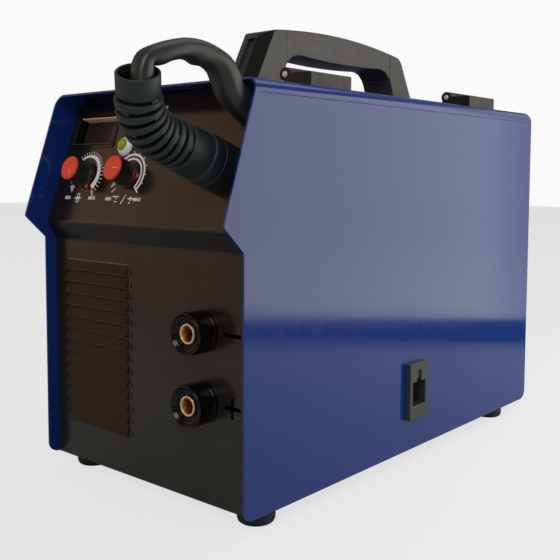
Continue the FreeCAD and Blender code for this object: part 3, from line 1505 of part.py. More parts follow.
def make_fan_rotor(x, low_y, z, duct):
    hub_length = S.fan_depth.value - S.fan_strut_thickness.value - 2.0
    centre = Vector(x.value, low_y.value, z.value)
    along = Vector(0, 1, 0)
    hub = Part.makeCylinder(S.fan_hub_radius.value, hub_length, centre, along)
    bore_radius = S.fan_axle_radius.value + S.shaft_clearance.value
    bore = Part.makeCylinder(bore_radius, S.fan_depth.value / 2, centre, along)
    tip = duct.value - S.fan_tip_clearance.value
    inner = S.fan_hub_radius.value - 1.5
    blades = []
    count = int(S.fan_blade_count.value)
    for number in range(count):
        blade = Part.makeBox(tip - inner, S.fan_blade_chord.value, S.fan_blade_thickness.value,
                             Vector(inner, -S.fan_blade_chord.value / 2, -S.fan_blade_thickness.value / 2))
        blade.rotate(Vector(0, 0, 0), Vector(1, 0, 0), S.fan_blade_pitch.value)
        blade.rotate(Vector(0, 0, 0), Vector(0, 1, 0), 360.0 * number / count)
        blade.translate(centre + along * (hub_length / 2))
        blades.append(blade)
    sweep = Part.makeCylinder(tip, hub_length, centre, along)
    shape = hub.fuse(blades).common(sweep).cut(bore).removeSplitter()
    rotor = add("Part::Feature", "fan_rotor")
    rotor.Shape = shape
    nodes["fan_rotor"] = rotor


def make_switch():
    x, z = switch_x, switch_z
    wide, tall = S.switch_width / 2, S.switch_height / 2
    edge = S.switch_flange
    wall = edge
    flange = box("switch_flange_plate", (x - wide - edge, rear_face, z - tall - edge),
                 (x + wide + edge, rear_face + S.switch_flange_height, z + tall + edge))
    case = box("switch_case", (x - wide, rear_face - S.switch_depth, z - tall),
               (x + wide, rear_face, z + tall))
    well = box("switch_well", (x - wide + wall, rear_face - S.switch_depth / 2, z - tall + wall),
               (x + wide - wall, rear_face + S.switch_flange_height + 1, z + tall - wall))
    pin_y = rear_face - S.rocker_pin_depth
    pin = rod("rocker_pin", (x - wide, pin_y, z), S.rocker_pin_radius, S.switch_width, "X")
    shell = cut("switch_shell", fuse("switch_blank", [flange, case]), [well])
    nodes["switch_housing"] = fuse("switch_housing", [shell, pin])
    body = new_body("rocker_blank")
    sketch = new_sketch(body, "YZ_Plane", "rocker_side", x - wide + wall + S.rocker_gap)
    run = tall - wall - S.rocker_end_gap
    face = rear_face + S.switch_flange_height + S.rocker_stand_out
    lean = sine(S.rocker_tilt) * run
    root_y = rear_face - S.switch_depth / 4
    draw_outline(sketch, [
        (root_y, z - run * 0.6),
        (face - lean, z - run),
        (face - lean / 2, z),
        (face + lean, z + run),
        (root_y, z + run * 0.6),
    ])
    pad(body, sketch, (wide - wall - S.rocker_gap) * 2)
    pin_hole = rod("rocker_hole", (x - wide, pin_y, z), S.rocker_pin_radius + S.shaft_clearance,
                   S.switch_width, "X")
    nodes["switch_rocker"] = cut("switch_rocker", body, [pin_hole])


def make_rear_fittings():
    clear = S.panel_hole_clearance
    gland_at = (gland_x, rear_face, S.foot_height + S.gland_rise)
    turn_back = Size(90)
    back_axis = (-1, 0, 0)
    thread, flange, bore = S.gland_thread_radius, S.gland_flange_radius, S.gland_bore_radius
    nut_low = -(S.rear_sheet + 5)
    nodes["mains_gland"] = spun("mains_gland", [
        (bore, nut_low - 3),
        (thread, nut_low - 3),
        (thread, nut_low),
        (flange, nut_low),
        (flange, -S.rear_sheet),
        (thread, -S.rear_sheet),
        (thread, ZERO),
        (flange, ZERO),
        (flange, S.gland_length * 0.35),
        (flange - 1.5, S.gland_length * 0.4),
        (flange - 1.5, S.gland_length * 0.75),
        (bore + 2.5, S.gland_length),
        (bore, S.gland_length),
    ], gland_at, turn_back, back_axis)
    tail, nut, gas_bore = S.gas_tail_radius, S.gas_nut_radius, S.gas_bore_radius
    start = S.gas_tail_length * 0.35
    nodes["gas_inlet"] = spun("gas_inlet", [
        (gas_bore, -S.rear_sheet - 8),
        (tail, -S.rear_sheet - 8),
        (tail, -S.rear_sheet - 4),
        (nut, -S.rear_sheet - 4),
        (nut, -S.rear_sheet),
        (tail, -S.rear_sheet),
        (tail, ZERO),
        (nut, ZERO),
        (nut, start),
        (tail, start),
        (tail, S.gas_tail_length),
        (tail - 0.8, S.gas_tail_length + 3),
        (gas_bore, S.gas_tail_length + 3),
    ], (gas_x, rear_face, S.foot_height + S.gas_rise), turn_back, back_axis)
    stud, head, height = S.ground_radius, S.ground_nut_radius, S.ground_nut_height
    nodes["ground_stud"] = spun("ground_stud", [
        (ZERO, -S.rear_sheet - height),
        (head, -S.rear_sheet - height),
        (head, -S.rear_sheet),
        (stud, -S.rear_sheet),
        (stud, ZERO),
        (head, ZERO),
        (head, height),
        (stud, height),
        (stud, height + S.ground_length),
        (ZERO, height + S.ground_length),
    ], (ground_x, rear_face, S.foot_height + S.ground_rise), turn_back, back_axis)


# Partition: the upright wall between the power electronics and the wire bay.
def make_partition():
    x = partition_x
    start = face_top_y + S.panel_sheet + S.partition_gap
    wall = box("partition_wall", (x, start, tray_top), (x + S.partition_sheet, rear_inside, hood_under))
    foot = box("partition_foot", (x - S.partition_foot, start, tray_top),
               (x, rear_inside, tray_top + S.partition_sheet))
    nodes["partition"] = fuse("partition", [wall, foot])


def make_spool():
    wall = partition_x + S.partition_sheet
    y, z = S.spool_place, S.foot_height + S.spool_rise
    low = wall + S.spool_stand_off
    high = low + S.spool_width
    nut_end = high + S.door_gap + S.spool_nut_height
    turn = Size(90)
    axis = (0, 1, 0)
    hub, bore, core = S.spool_hub_radius, S.spool_bore_radius, S.spool_core_radius
    nodes["spool_hub"] = spun("spool_hub", [
        (ZERO, wall),
        (S.spool_nut_radius + 4, wall),
        (S.spool_nut_radius + 4, low - S.door_gap),
        (hub, low - S.door_gap),
        (hub, high + S.door_gap),
        (S.spool_nut_radius, high + S.door_gap),
        (S.spool_nut_radius, nut_end),
        (ZERO, nut_end),
    ], (ZERO, y, z), turn, axis)
    rim, flange = S.spool_radius, S.spool_flange
    nodes["spool_reel"] = spun("spool_reel", [
        (bore, low),
        (rim, low),
        (rim, low + flange),
        (core, low + flange),
        (core, high - flange),
        (rim, high - flange),
        (rim, high),
        (bore, high),
    ], (ZERO, y, z), turn, axis)
    nodes["welding_wire"] = spun("welding_wire", [
        (core, low + flange),
        (S.wire_pack_radius, low + flange),
        (S.wire_pack_radius, high - flange),
        (core, high - flange),
    ], (ZERO, y, z), turn, axis)


# Wire feeder: set square to the sloping face on the sleeve's line, with a driven
# roll below the wire and a sprung roll on a swinging arm above it.
def feeder_point(aside, above, behind):
    return on_face(sleeve_x + aside, S.sleeve_up + above, -as_size(behind))


def make_feeder():
    wall = partition_x + S.partition_sheet
    plate_right = -S.feeder_plate_offset + S.feeder_plate_thickness
    half_high = S.feeder_plate_height / 2
    half_long = S.feeder_plate_length / 2
    mid = S.feeder_back
    shaft = S.shaft_radius
    hole = shaft + S.shaft_clearance
    roll_left = plate_right + 2
    roll_right = roll_left + S.roll_width
    arm_left = roll_right + 0.5
    arm_right = arm_left + S.arm_thickness
    gap = S.roll_wire_gap / 2
    drive_low = -(S.drive_roll_radius + gap)
    press_high = S.pressure_roll_radius + gap
    pivot_back = mid - S.arm_pivot_forward
    plate = face_box("feeder_sheet",
                     (sleeve_x - S.feeder_plate_offset, S.sleeve_up - half_high, -(mid + half_long)),
                     (sleeve_x + plate_right, S.sleeve_up + half_high, -(mid - half_long)))
    posts = []
    for number, (above, behind) in enumerate([(-1, -1), (-1, 1), (1, -1), (1, 1)]):
        at = feeder_point(ZERO, (half_high - 7) * above, mid + (half_long - 7) * behind)
        posts.append(rod(f"feeder_post_{number}", (wall, at[1], at[2]), S.feeder_spacer_radius,
                         sleeve_x - S.feeder_plate_offset - wall + 1, "X"))
    pivot = rod("arm_pivot", feeder_point(plate_right - 1, press_high, pivot_back), shaft,
                arm_right - plate_right + 3, "X")
    shaft_hole = rod("drive_shaft_hole", feeder_point(-S.feeder_plate_offset - 1, drive_low, mid), hole,
                     S.feeder_plate_thickness + 2, "X")
    blank = fuse("feeder_plate_blank", [plate, pivot] + posts)
    nodes["feeder_plate"] = cut("feeder_plate", blank, [shaft_hole])
    motor_at = feeder_point(ZERO, drive_low, mid)
    motor_length = sleeve_x - S.feeder_plate_offset - wall
    motor_case = rod("motor_case", (wall, motor_at[1], motor_at[2]), S.motor_radius, motor_length, "X")
    motor_bore = rod("motor_bore", (wall + motor_length / 2, motor_at[1], motor_at[2]), hole,
                     motor_length, "X")
    nodes["feed_motor"] = cut("feed_motor", motor_case, [motor_bore])
    drive_shaft = rod("drive_shaft", (wall + motor_length / 2 + 1, motor_at[1], motor_at[2]), shaft,
                      motor_length / 2 - 1 + S.feeder_plate_offset + roll_right, "X")
    drive_disc = rod("drive_disc", feeder_point(roll_left, drive_low, mid),
                     S.drive_roll_radius, S.roll_width, "X")
    nodes["drive_roll"] = fuse("drive_roll", [drive_shaft, drive_disc])
    press_disc = rod("press_disc", feeder_point(roll_left, press_high, mid),
                     S.pressure_roll_radius, S.roll_width, "X")
    press_hole = rod("press_hole", feeder_point(roll_left - 1, press_high, mid), hole,
                     S.roll_width + 2, "X")
    nodes["pressure_roll"] = cut("pressure_roll", press_disc, [press_hole])
    arm_low = press_high - S.arm_height / 2
    arm_high = press_high + S.arm_height / 2
    arm_front = pivot_back - S.arm_height / 2
    bar = face_box("arm_bar",
                   (sleeve_x + arm_left, S.sleeve_up + arm_low, -(arm_front + S.arm_length)),
                   (sleeve_x + arm_right, S.sleeve_up + arm_high, -arm_front))
    knob_back = mid + S.arm_knob_back
    table = face_box("arm_table",
                     (sleeve_x + roll_left + 1, S.sleeve_up + arm_high - 4, -(knob_back + 7)),
                     (sleeve_x + arm_right, S.sleeve_up + arm_high, -(knob_back - 7)))
    pin = rod("press_pin", feeder_point(roll_left - 1, press_high, mid), shaft,
              arm_right - roll_left + 1, "X")
    eye = rod("arm_eye", feeder_point(arm_left - 1, press_high, pivot_back), hole, S.arm_thickness + 2, "X")
    knob_aside = (roll_left + 1 + arm_right) / 2
    screw_hole = upright("tension_hole", feeder_point(knob_aside, arm_high - 5, knob_back),
                         S.tension_screw_radius + S.shaft_clearance, Size(6))
    nodes["pressure_arm"] = cut("pressure_arm", fuse("arm_blank", [bar, table, pin]), [eye, screw_hole])
    knob = upright("tension_head", feeder_point(knob_aside, arm_high + 0.3, knob_back),
                   S.tension_knob_radius, S.tension_knob_height)
    stem = upright("tension_stem", feeder_point(knob_aside, arm_high - 6, knob_back),
                   S.tension_screw_radius, Size(8))
    nodes["tension_knob"] = fuse("tension_knob", [knob, stem])
    guide_end = mid - S.guide_end_back
    tube = rod("guide_tube", on_face(sleeve_x, S.sleeve_up, -guide_end), S.guide_tube_radius,
               S.guide_length, "F")
    block = face_box("guide_block",
                     (sleeve_x + plate_right, S.sleeve_up - 5, -guide_end),
                     (sleeve_x + 5, S.sleeve_up + 5, S.guide_block_length - guide_end))
    bore = rod("guide_bore", on_face(sleeve_x, S.sleeve_up, -(guide_end + 1)), S.guide_bore_radius,
               S.guide_length + 2, "F")
    nodes["wire_guide"] = cut("wire_guide", fuse("wire_guide_blank", [tube, block]), [bore])


def upright(name, at, radius, length):
    """A cylinder that stands up along the slope of the control face."""
    thing = add("Part::Cylinder", name)
    bind(thing, Radius=radius, Height=length)
    return put(thing, at, S.face_tilt, (-1, 0, 0))


# Power electronics: finned heatsink on the tray with the board across its top.
def make_electronics():
    left = left_inside + S.heatsink_left_inset
    right = left + S.heatsink_width
    low_y = -(S.heatsink_length / 2)
    fin_top = tray_top + S.heatsink_height - S.heatsink_base
    sink_top = tray_top + S.heatsink_height
    count = int(S.heatsink_fin_count.value)
    pitch = (S.heatsink_width - S.heatsink_fin) / (count - 1)
    body = new_body("heatsink")
    sketch = new_sketch(body, "XZ_Plane", "heatsink_section", low_y)
    points = [(left, sink_top)]
    for number in range(count):
        x = left + pitch * number
        if number:
            points.append((x, fin_top))
        points += [(x, tray_top), (x + S.heatsink_fin, tray_top)]
        if number < count - 1:
            points.append((x + S.heatsink_fin, fin_top))
    points.append((right, sink_top))
    draw_outline(sketch, points)
    pad(body, sketch, S.heatsink_length)
    nodes["heatsink"] = body
    board_left = left_inside + 6
    board_top = sink_top + S.board_thickness
    circuit_boards.append(box("main_board", (board_left, -(S.board_length / 2), sink_top),
                              (board_left + S.board_width, S.board_length / 2, board_top)))
    nodes["circuit_boards"] = group("circuit_boards", circuit_boards)
    middle_x = board_left + S.board_width / 2
    cans = []
    for number in range(3):
        x = board_left + S.board_width * (number + 0.5) / 3
        y = S.board_length / 2 - S.capacitor_end_inset
        cans.append(rod(f"capacitor_{number}", (x, y, board_top), S.capacitor_radius, S.capacitor_height))
    nodes["capacitors"] = group("capacitors", cans)
    wide, long = S.transformer_width / 2, S.transformer_length / 2
    core = box("transformer_core", (middle_x - wide, -long, board_top),
               (middle_x + wide, long, board_top + S.transformer_height))
    coil = box("transformer_coil", (middle_x - wide * 0.7, -long * 1.35, board_top + 4),
               (middle_x + wide * 0.7, long * 1.35, board_top + S.transformer_height - 4))
    nodes["transformer"] = fuse("transformer", [core, coil])
    choke_z = board_top + S.choke_section_radius
    ring = add("Part::Torus", "output_choke")
    bind(ring, Radius1=S.choke_ring_radius, Radius2=S.choke_section_radius)
    nodes["output_choke"] = put(ring, (middle_x, -(S.board_length / 3), choke_z))


# Case screws: three pan heads along the left side's foot, into the base tray's
# flange, kept in one node with the handle's screws and the grip's bolt.
def make_screws():
    z = S.foot_height + S.tray_flange / 2
    step = (S.case_depth / 2) - S.screw_end_inset
    cover_holes, tray_holes = [], []
    for number, y in enumerate([-step, ZERO, step]):
        at = (-half_width, y, z)
        head_at = (-half_width - S.screw_head_height, y, z)
        case_screws.append(fuse(f"side_screw_{number}", [
            rod(f"side_head_{number}", head_at, S.screw_head_radius, S.screw_head_height, "X"),
            rod(f"side_shank_{number}", at, S.screw_radius, S.screw_length, "X"),
        ]))
        cover_holes.append(rod(f"cover_hole_{number}", at, S.screw_radius, S.screw_length, "X"))
        tray_holes.append(rod(f"tray_hole_{number}", at, S.screw_radius, S.screw_length, "X"))
    drill("cover_shell", cover_holes)
    drill("base_tray", tray_holes)
    nodes["case_screws"] = group("case_screws", case_screws)


def make_grip_bolt():
    """The grip's bolt, from behind the panel into the grip's foot."""
    reach = face_thickness + S.grip_bolt_reach
    head_at = on_face(grip_foot_x, S.grip_foot_up, -(face_thickness + S.grip_bolt_head_height))
    shank_at = on_face(grip_foot_x, S.grip_foot_up, -face_thickness)
    case_screws.append(fuse("grip_bolt", [
        rod("grip_bolt_head", head_at, S.grip_bolt_head_radius, S.grip_bolt_head_height, "F"),
        rod("grip_bolt_shank", shank_at, S.grip_bolt_radius, reach, "F"),
    ]))
    drill("front_grip", [rod("grip_bolt_bore", shank_at, S.grip_bolt_radius, reach, "F")])


make_cover()
make_door()
make_tray()
make_feet()
make_front_panel()
make_sockets()
make_knobs()
make_display()
make_lamp()
make_sleeve()
make_grip()
make_grip_bolt()
make_handle()
make_hinges()
make_latch()
make_rear_panel()
make_fan()
make_switch()
make_rear_fittings()
make_partition()
make_spool()
make_feeder()
make_electronics()
make_screws()

doc.recompute()
faults = [thing.Label for thing in doc.Objects if "Invalid" in thing.State or "Error" in thing.State]
for name, thing in nodes.items():
    if thing.Label != name:
        faults.append(f"{name} is labelled {thing.Label}")
    if thing.Shape.isNull() or not thing.Shape.isValid() or not thing.Shape.Solids:
        faults.append(f"{name} has no valid solid")
if faults:
    raise RuntimeError("parts with faults: " + ", ".join(faults))

os.makedirs("parts", exist_ok=True)
for name, thing in nodes.items():
    thing.Shape.exportStep(f"parts/{name}.step")
    bounds = thing.Shape.BoundBox
    print(f"{name}: {len(thing.Shape.Solids)} solids, {thing.Shape.Volume:.0f} mm3, "
          f"x {bounds.XMin:.1f} to {bounds.XMax:.1f}, y {bounds.YMin:.1f} to {bounds.YMax:.1f}, "
          f"z {bounds.ZMin:.1f} to {bounds.ZMax:.1f}")
print(len(nodes), "nodes")
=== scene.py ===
import json
import math

import bmesh
import bpy
from mathutils import Matrix, Vector

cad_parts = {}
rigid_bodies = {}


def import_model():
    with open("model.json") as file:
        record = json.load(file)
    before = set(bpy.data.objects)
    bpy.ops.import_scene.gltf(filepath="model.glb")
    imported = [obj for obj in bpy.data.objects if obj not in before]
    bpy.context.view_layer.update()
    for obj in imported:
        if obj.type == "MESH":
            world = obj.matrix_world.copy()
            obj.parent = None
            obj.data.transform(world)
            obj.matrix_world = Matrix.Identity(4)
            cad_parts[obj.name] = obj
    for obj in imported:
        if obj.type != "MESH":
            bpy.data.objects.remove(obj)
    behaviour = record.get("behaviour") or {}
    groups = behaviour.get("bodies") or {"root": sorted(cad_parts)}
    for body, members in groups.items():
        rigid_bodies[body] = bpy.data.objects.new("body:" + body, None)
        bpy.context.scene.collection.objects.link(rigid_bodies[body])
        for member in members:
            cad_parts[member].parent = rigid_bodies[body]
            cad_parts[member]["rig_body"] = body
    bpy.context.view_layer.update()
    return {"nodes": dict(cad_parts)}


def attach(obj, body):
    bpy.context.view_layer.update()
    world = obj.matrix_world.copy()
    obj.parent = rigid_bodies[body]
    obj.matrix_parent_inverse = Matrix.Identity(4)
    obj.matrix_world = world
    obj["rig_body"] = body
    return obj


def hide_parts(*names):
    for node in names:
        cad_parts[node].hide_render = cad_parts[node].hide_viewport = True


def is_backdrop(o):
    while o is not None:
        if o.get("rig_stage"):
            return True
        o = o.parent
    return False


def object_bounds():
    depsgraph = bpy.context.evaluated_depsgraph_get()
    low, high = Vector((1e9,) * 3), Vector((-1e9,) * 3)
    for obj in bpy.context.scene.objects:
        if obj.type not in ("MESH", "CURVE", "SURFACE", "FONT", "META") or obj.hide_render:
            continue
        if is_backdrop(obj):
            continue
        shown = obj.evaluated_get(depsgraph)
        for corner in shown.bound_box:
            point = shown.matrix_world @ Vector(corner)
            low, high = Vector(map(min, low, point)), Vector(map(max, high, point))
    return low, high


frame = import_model()
nodes = frame["nodes"]


# Case: the cover is one folded steel sheet, the left side and most of the hood, and
# the door is another, the right side and a strip of the hood. Both are powder coated
# deep royal blue, which leaves a glossy skin with a fine orange peel.
def finish_of(name, colour, rough, metal=0.0, **sockets):
    """A material with one shader, its even values set on the shader's own sockets."""
    made = bpy.data.materials.new(name)
    made.use_nodes = True
    shader = made.node_tree.nodes["Principled BSDF"]
    shader.inputs["Base Color"].default_value = (*colour, 1.0)
    shader.inputs["Roughness"].default_value = rough
    shader.inputs["Metallic"].default_value = metal
    for socket, value in sockets.items():
        shader.inputs[socket.replace("_", " ")].default_value = value
    return made


EVEN = (1.0, 1.0, 1.0)


def grain(made, size, detail, stretch):
    """A noise in object space with grains of a size in millimetres."""
    tree = made.node_tree
    place = tree.nodes.new("ShaderNodeTexCoord")
    scale = tree.nodes.new("ShaderNodeMapping")
    scale.inputs["Scale"].default_value = [1000.0 / (size * share) for share in stretch]
    noise = tree.nodes.new("ShaderNodeTexNoise")
    noise.inputs["Scale"].default_value = 1.0
    noise.inputs["Detail"].default_value = detail
    tree.links.new(place.outputs["Object"], scale.inputs["Vector"])
    tree.links.new(scale.outputs["Vector"], noise.inputs["Vector"])
    return noise.outputs["Fac"]


def mottle(made, size, low, high, stretch=EVEN, socket="Base Color"):
    """Lets a colour or a roughness drift between two values over the surface."""
    tree = made.node_tree
    value = grain(made, size, 3.0, stretch)
    start, stop = 0.3, 0.7
    if socket == "Base Color":
        drift = tree.nodes.new("ShaderNodeValToRGB")
        for element, spot, tone in zip(drift.color_ramp.elements, (start, stop), (low, high)):
            element.position = spot
            element.color = (*tone, 1.0)
        tree.links.new(value, drift.inputs["Fac"])
        result = drift.outputs["Color"]
    else:
        drift = tree.nodes.new("ShaderNodeMapRange")
        drift.inputs["From Min"].default_value = start
        drift.inputs["From Max"].default_value = stop
        drift.inputs["To Min"].default_value = low
        drift.inputs["To Max"].default_value = high
        tree.links.new(value, drift.inputs["Value"])
        result = drift.outputs["Result"]
    tree.links.new(result, tree.nodes["Principled BSDF"].inputs[socket])


def relief(made, size, depth, stretch=EVEN):
    """Adds a fine relief, its grain size and its depth in millimetres."""
    tree = made.node_tree
    shader = tree.nodes["Principled BSDF"]
    bump = tree.nodes.new("ShaderNodeBump")
    bump.inputs["Strength"].default_value = 1.0
    bump.inputs["Distance"].default_value = depth * 0.001
    tree.links.new(grain(made, size, 2.0, stretch), bump.inputs["Height"])
    tree.links.new(bump.outputs["Normal"], shader.inputs["Normal"])


def dress(made, *names):
    """Gives CAD pieces a material."""
    for name in names:
        nodes[name].data.materials.clear()
        nodes[name].data.materials.append(made)


royal_blue = finish_of("royal_blue_powder_coat", (0.007, 0.034, 0.215), 0.12)
mottle(royal_blue, 130, (0.006, 0.031, 0.200), (0.008, 0.036, 0.225))
mottle(royal_blue, 14, 0.10, 0.14, socket="Roughness")
relief(royal_blue, 1.8, 0.003)


def made_piece(bm, name, materials, stands_for=(), body=None, edge=0.0, steps=3, limit=32.0):
    """Turns a shape worked out in millimetres into a finished piece, which stands for
    the CAD pieces named, with its edges broken by a small radius."""
    bmesh.ops.remove_doubles(bm, verts=bm.verts, dist=0.0005)
    bmesh.ops.recalc_face_normals(bm, faces=bm.faces)
    bmesh.ops.scale(bm, vec=(0.001, 0.001, 0.001), verts=bm.verts)
    for face in bm.faces:
        face.smooth = True
    for line in bm.edges:
        line.smooth = line.calc_face_angle(0.0) < math.radians(limit)
    mesh = bpy.data.meshes.new(name)
    bm.to_mesh(mesh)
    bm.free()
    piece = bpy.data.objects.new(name, mesh)
    bpy.context.scene.collection.objects.link(piece)
    for made in materials if isinstance(materials, (list, tuple)) else [materials]:
        mesh.materials.append(made)
    if edge:
        soft = piece.modifiers.new("broken_edges", "BEVEL")
        soft.width = edge * 0.001
        soft.segments = steps
        soft.limit_method = "ANGLE"
        soft.angle_limit = math.radians(limit)
        soft.harden_normals = True
    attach(piece, body or nodes[stands_for[0]]["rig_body"])
    if stands_for:
        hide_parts(*stands_for)


def merged(name):
    """A copy of a CAD piece in millimetres, its loose triangles joined into faces."""
    bm = bmesh.new()
    bm.from_mesh(nodes[name].data)
    bmesh.ops.scale(bm, vec=(1000, 1000, 1000), verts=bm.verts)
    bmesh.ops.remove_doubles(bm, verts=bm.verts, dist=0.002)
    bmesh.ops.dissolve_limit(bm, angle_limit=math.radians(0.6), verts=bm.verts, edges=bm.edges)
    return bm


def rounded(bm, edges, radius, segments):
    """Rolls the chosen edges to a radius, as a press or a folding bar leaves them."""
    bmesh.ops.bevel(bm, geom=edges, offset=radius, offset_type="OFFSET", segments=segments,
                    profile=0.5, affect="EDGES", material=-1, clamp_overlap=True)


dress(royal_blue, "cover_shell", "side_door")
# A fine dull line just under the door's top bend is painted shade, the dark line the bend shows there.
SHADE_LINE_LENGTH, SHADE_LINE_WIDTH, SHADE_LINE_MIDDLE = 420.0, 0.7, (113.06, 7.0, 301.7)
fold_shade_blue = finish_of("blue_coat_painted_shade_line", (0.055, 0.065, 0.20), 0.6, Specular_IOR_Level=0.15)
mottle(fold_shade_blue, 6, 0.5, 0.7, socket="Roughness")
bm = bmesh.new()
bmesh.ops.create_grid(bm, x_segments=40, y_segments=2, size=0.5)
bmesh.ops.scale(bm, vec=(SHADE_LINE_LENGTH, SHADE_LINE_WIDTH, 1.0), verts=bm.verts)
upright = Matrix(((0, 0, 1), (1, 0, 0), (0, 1, 0)))
bmesh.ops.rotate(bm, matrix=upright, verts=bm.verts, cent=(0, 0, 0))
bmesh.ops.translate(bm, verts=bm.verts, vec=SHADE_LINE_MIDDLE)
made_piece(bm, "fold_shade_line", fold_shade_blue, body="door")


# Base: a folded steel tray under everything, coated black like the back, on four
# moulded rubber feet. Each foot is screwed through from below, and the screw head
# sits in a recess in its sole.
def turned(bm, profile, place=None, steps=64, closed=False, index=0):
    """Spins a profile of (radius, height) points round the Z of its place."""
    before = len(bm.verts)
    faces_before = len(bm.faces)
    line = [bm.verts.new((radius, 0.0, height)) for radius, height in profile]
    pairs = list(zip(line, line[1:])) + ([(line[-1], line[0])] if closed else [])
    edges = [bm.edges.new(pair) for pair in pairs]
    bmesh.ops.spin(bm, geom=line + edges, cent=(0, 0, 0), axis=(0, 0, 1),
                   angle=math.tau, steps=steps, use_merge=True)
    bm.verts.ensure_lookup_table()
    bm.faces.ensure_lookup_table()
    for face in bm.faces[faces_before:]:
        face.material_index = index
    if place:
        bmesh.ops.transform(bm, matrix=place, verts=bm.verts[before:])


foot_rubber = finish_of("moulded_foot_rubber", (0.012, 0.014, 0.016), 0.62)
mottle(foot_rubber, 3, 0.55, 0.75, socket="Roughness")
relief(foot_rubber, 0.7, 0.03)
bm = bmesh.new()
for across in (-94, 94):
    for back in (-185, 171):
        turned(bm, [(2.7, 12.0), (13.6, 12.0), (14.0, 11.6), (14.0, 4.2), (13.7, 2.4), (13.0, 0.9),
                    (11.9, 0.1), (11.2, 0.0), (7.9, 0.0), (7.3, 0.3), (7.0, 0.9), (7.0, 5.0),
                    (2.7, 5.0)], Matrix.Translation((across, back, 0)), 48, True)
made_piece(bm, "feet", foot_rubber, ("rubber_feet",))

black_coat = finish_of("black_powder_coat", (0.012, 0.010, 0.008), 0.2,
                       Specular_Tint=(1.0, 0.86, 0.70, 1.0))
mottle(black_coat, 90, (0.013, 0.010, 0.0075), (0.010, 0.009, 0.008))
mottle(black_coat, 12, 0.17, 0.24, socket="Roughness")
relief(black_coat, 1.5, 0.004)
dress(black_coat, "base_tray", "rear_panel")

plated_steel = finish_of("zinc_plated_steel", (0.55, 0.56, 0.58), 0.3, 1.0)
mottle(plated_steel, 2, 0.22, 0.4, socket="Roughness")
relief(plated_steel, 0.5, 0.006)
dress(plated_steel, "foot_screws", "case_screws", "fan_guard", "ground_stud", "potentiometers",
      "knob_left_spindle", "knob_right_spindle", "wire_guide")


# Front panel: one folded black sheet. Its dials are printed in white: a wedge that
# grows round the wire speed dial, two thin rings round the voltage dial, with ticks
# and small words under them. The plus and minus beside the sockets are punched.
TILT, FACE_FOOT_Y, FACE_FOOT_Z = math.radians(19.85), -216.5, 208.5


def on_face(across, up, out=0.0):
    """A place on the sloping control face: X across, Y up the slope, Z out of it."""
    sine, cosine = math.sin(TILT), math.cos(TILT)
    turn = Matrix(((1, 0, 0), (0, sine, -cosine), (0, cosine, sine))).to_4x4()
    back = FACE_FOOT_Y + up * sine - out * cosine
    height = FACE_FOOT_Z + up * cosine + out * sine
    return Matrix.Translation((across, back, height)) @ turn


def block(bm, low, high, place=None, index=0):
    """A rectangular block between two corners of its place."""
    low, high = Vector(low), Vector(high)
    size = high - low
    spot = Matrix.Translation((low + high) / 2) @ Matrix.Diagonal((*size, 1.0))
    made = bmesh.ops.create_cube(bm, size=1.0, matrix=(place or Matrix()) @ spot)
    for face in {face for corner in made["verts"] for face in corner.link_faces}:
        face.material_index = index
    return made["verts"]


INK = 0.12
CORNER, EDGE = bmesh.types.BMVert, bmesh.types.BMEdge


def only(kind, made):
    """The corners or the edges in what an operator made."""
    return [item for item in made if isinstance(item, kind)]


def arc(bm, place, low_radius, high_radius, start, end, grow=False):
    """A flat printed arc between two angles, counted from across towards up. Where
    it grows, its inner edge starts at the outer one and ends at the low radius."""
    before = len(bm.verts)
    turn = Matrix.Rotation(math.radians(start), 3, "Z")
    ends = [bm.verts.new(turn @ Vector((radius, 0, 0))) for radius in (low_radius, high_radius)]
    bmesh.ops.spin(bm, geom=ends + [bm.edges.new(ends)], cent=(0, 0, 0), axis=(0, 0, 1),
                   angle=math.radians(end - start), steps=40)
    bm.verts.ensure_lookup_table()
    flat = bm.verts[before:]
    if grow:
        for corner in flat:
            radius = corner.co.xy.length
            if radius < (low_radius + high_radius) / 2:
                angle = math.degrees(math.atan2(corner.co.y, corner.co.x))
                share = ((angle - start) % math.copysign(360, end - start)) / (end - start)
                wanted = high_radius - 0.15 - (high_radius - low_radius) * min(max(share, 0), 1)
                corner.co *= wanted / radius
    faces = list({face for corner in flat for face in corner.link_faces})
    raised = only(CORNER, bmesh.ops.extrude_face_region(bm, geom=faces)["geom"])
    bmesh.ops.translate(bm, verts=raised, vec=(0, 0, INK))
    bmesh.ops.transform(bm, matrix=place, verts=list(set(flat + raised)))


def words(bm, place, text, size):
    """A small printed word, a little bold, made a mesh before its place is applied."""
    letters = bpy.data.curves.new(text, "FONT")
    letters.body = text
    letters.size = size
    letters.align_x = "CENTER"
    letters.align_y = "CENTER"
    letters.extrude = INK / 2
    letters.offset = size * 0.03
    shown = bpy.data.objects.new(text, letters)
    mesh = bpy.data.meshes.new_from_object(shown)
    bpy.data.objects.remove(shown)
    bpy.data.curves.remove(letters)
    before = len(bm.verts)
    bm.from_mesh(mesh)
    bpy.data.meshes.remove(mesh)
    bm.verts.ensure_lookup_table()
    bmesh.ops.transform(bm, matrix=place, verts=bm.verts[before:])


def tick(bm, place, angle, low_radius, high_radius, width):
    """A printed mark that points away from a dial's middle."""
    turn = place @ Matrix.Rotation(math.radians(angle), 4, "Z")
    block(bm, (low_radius, -width / 2, 0), (high_radius, width / 2, INK), turn)
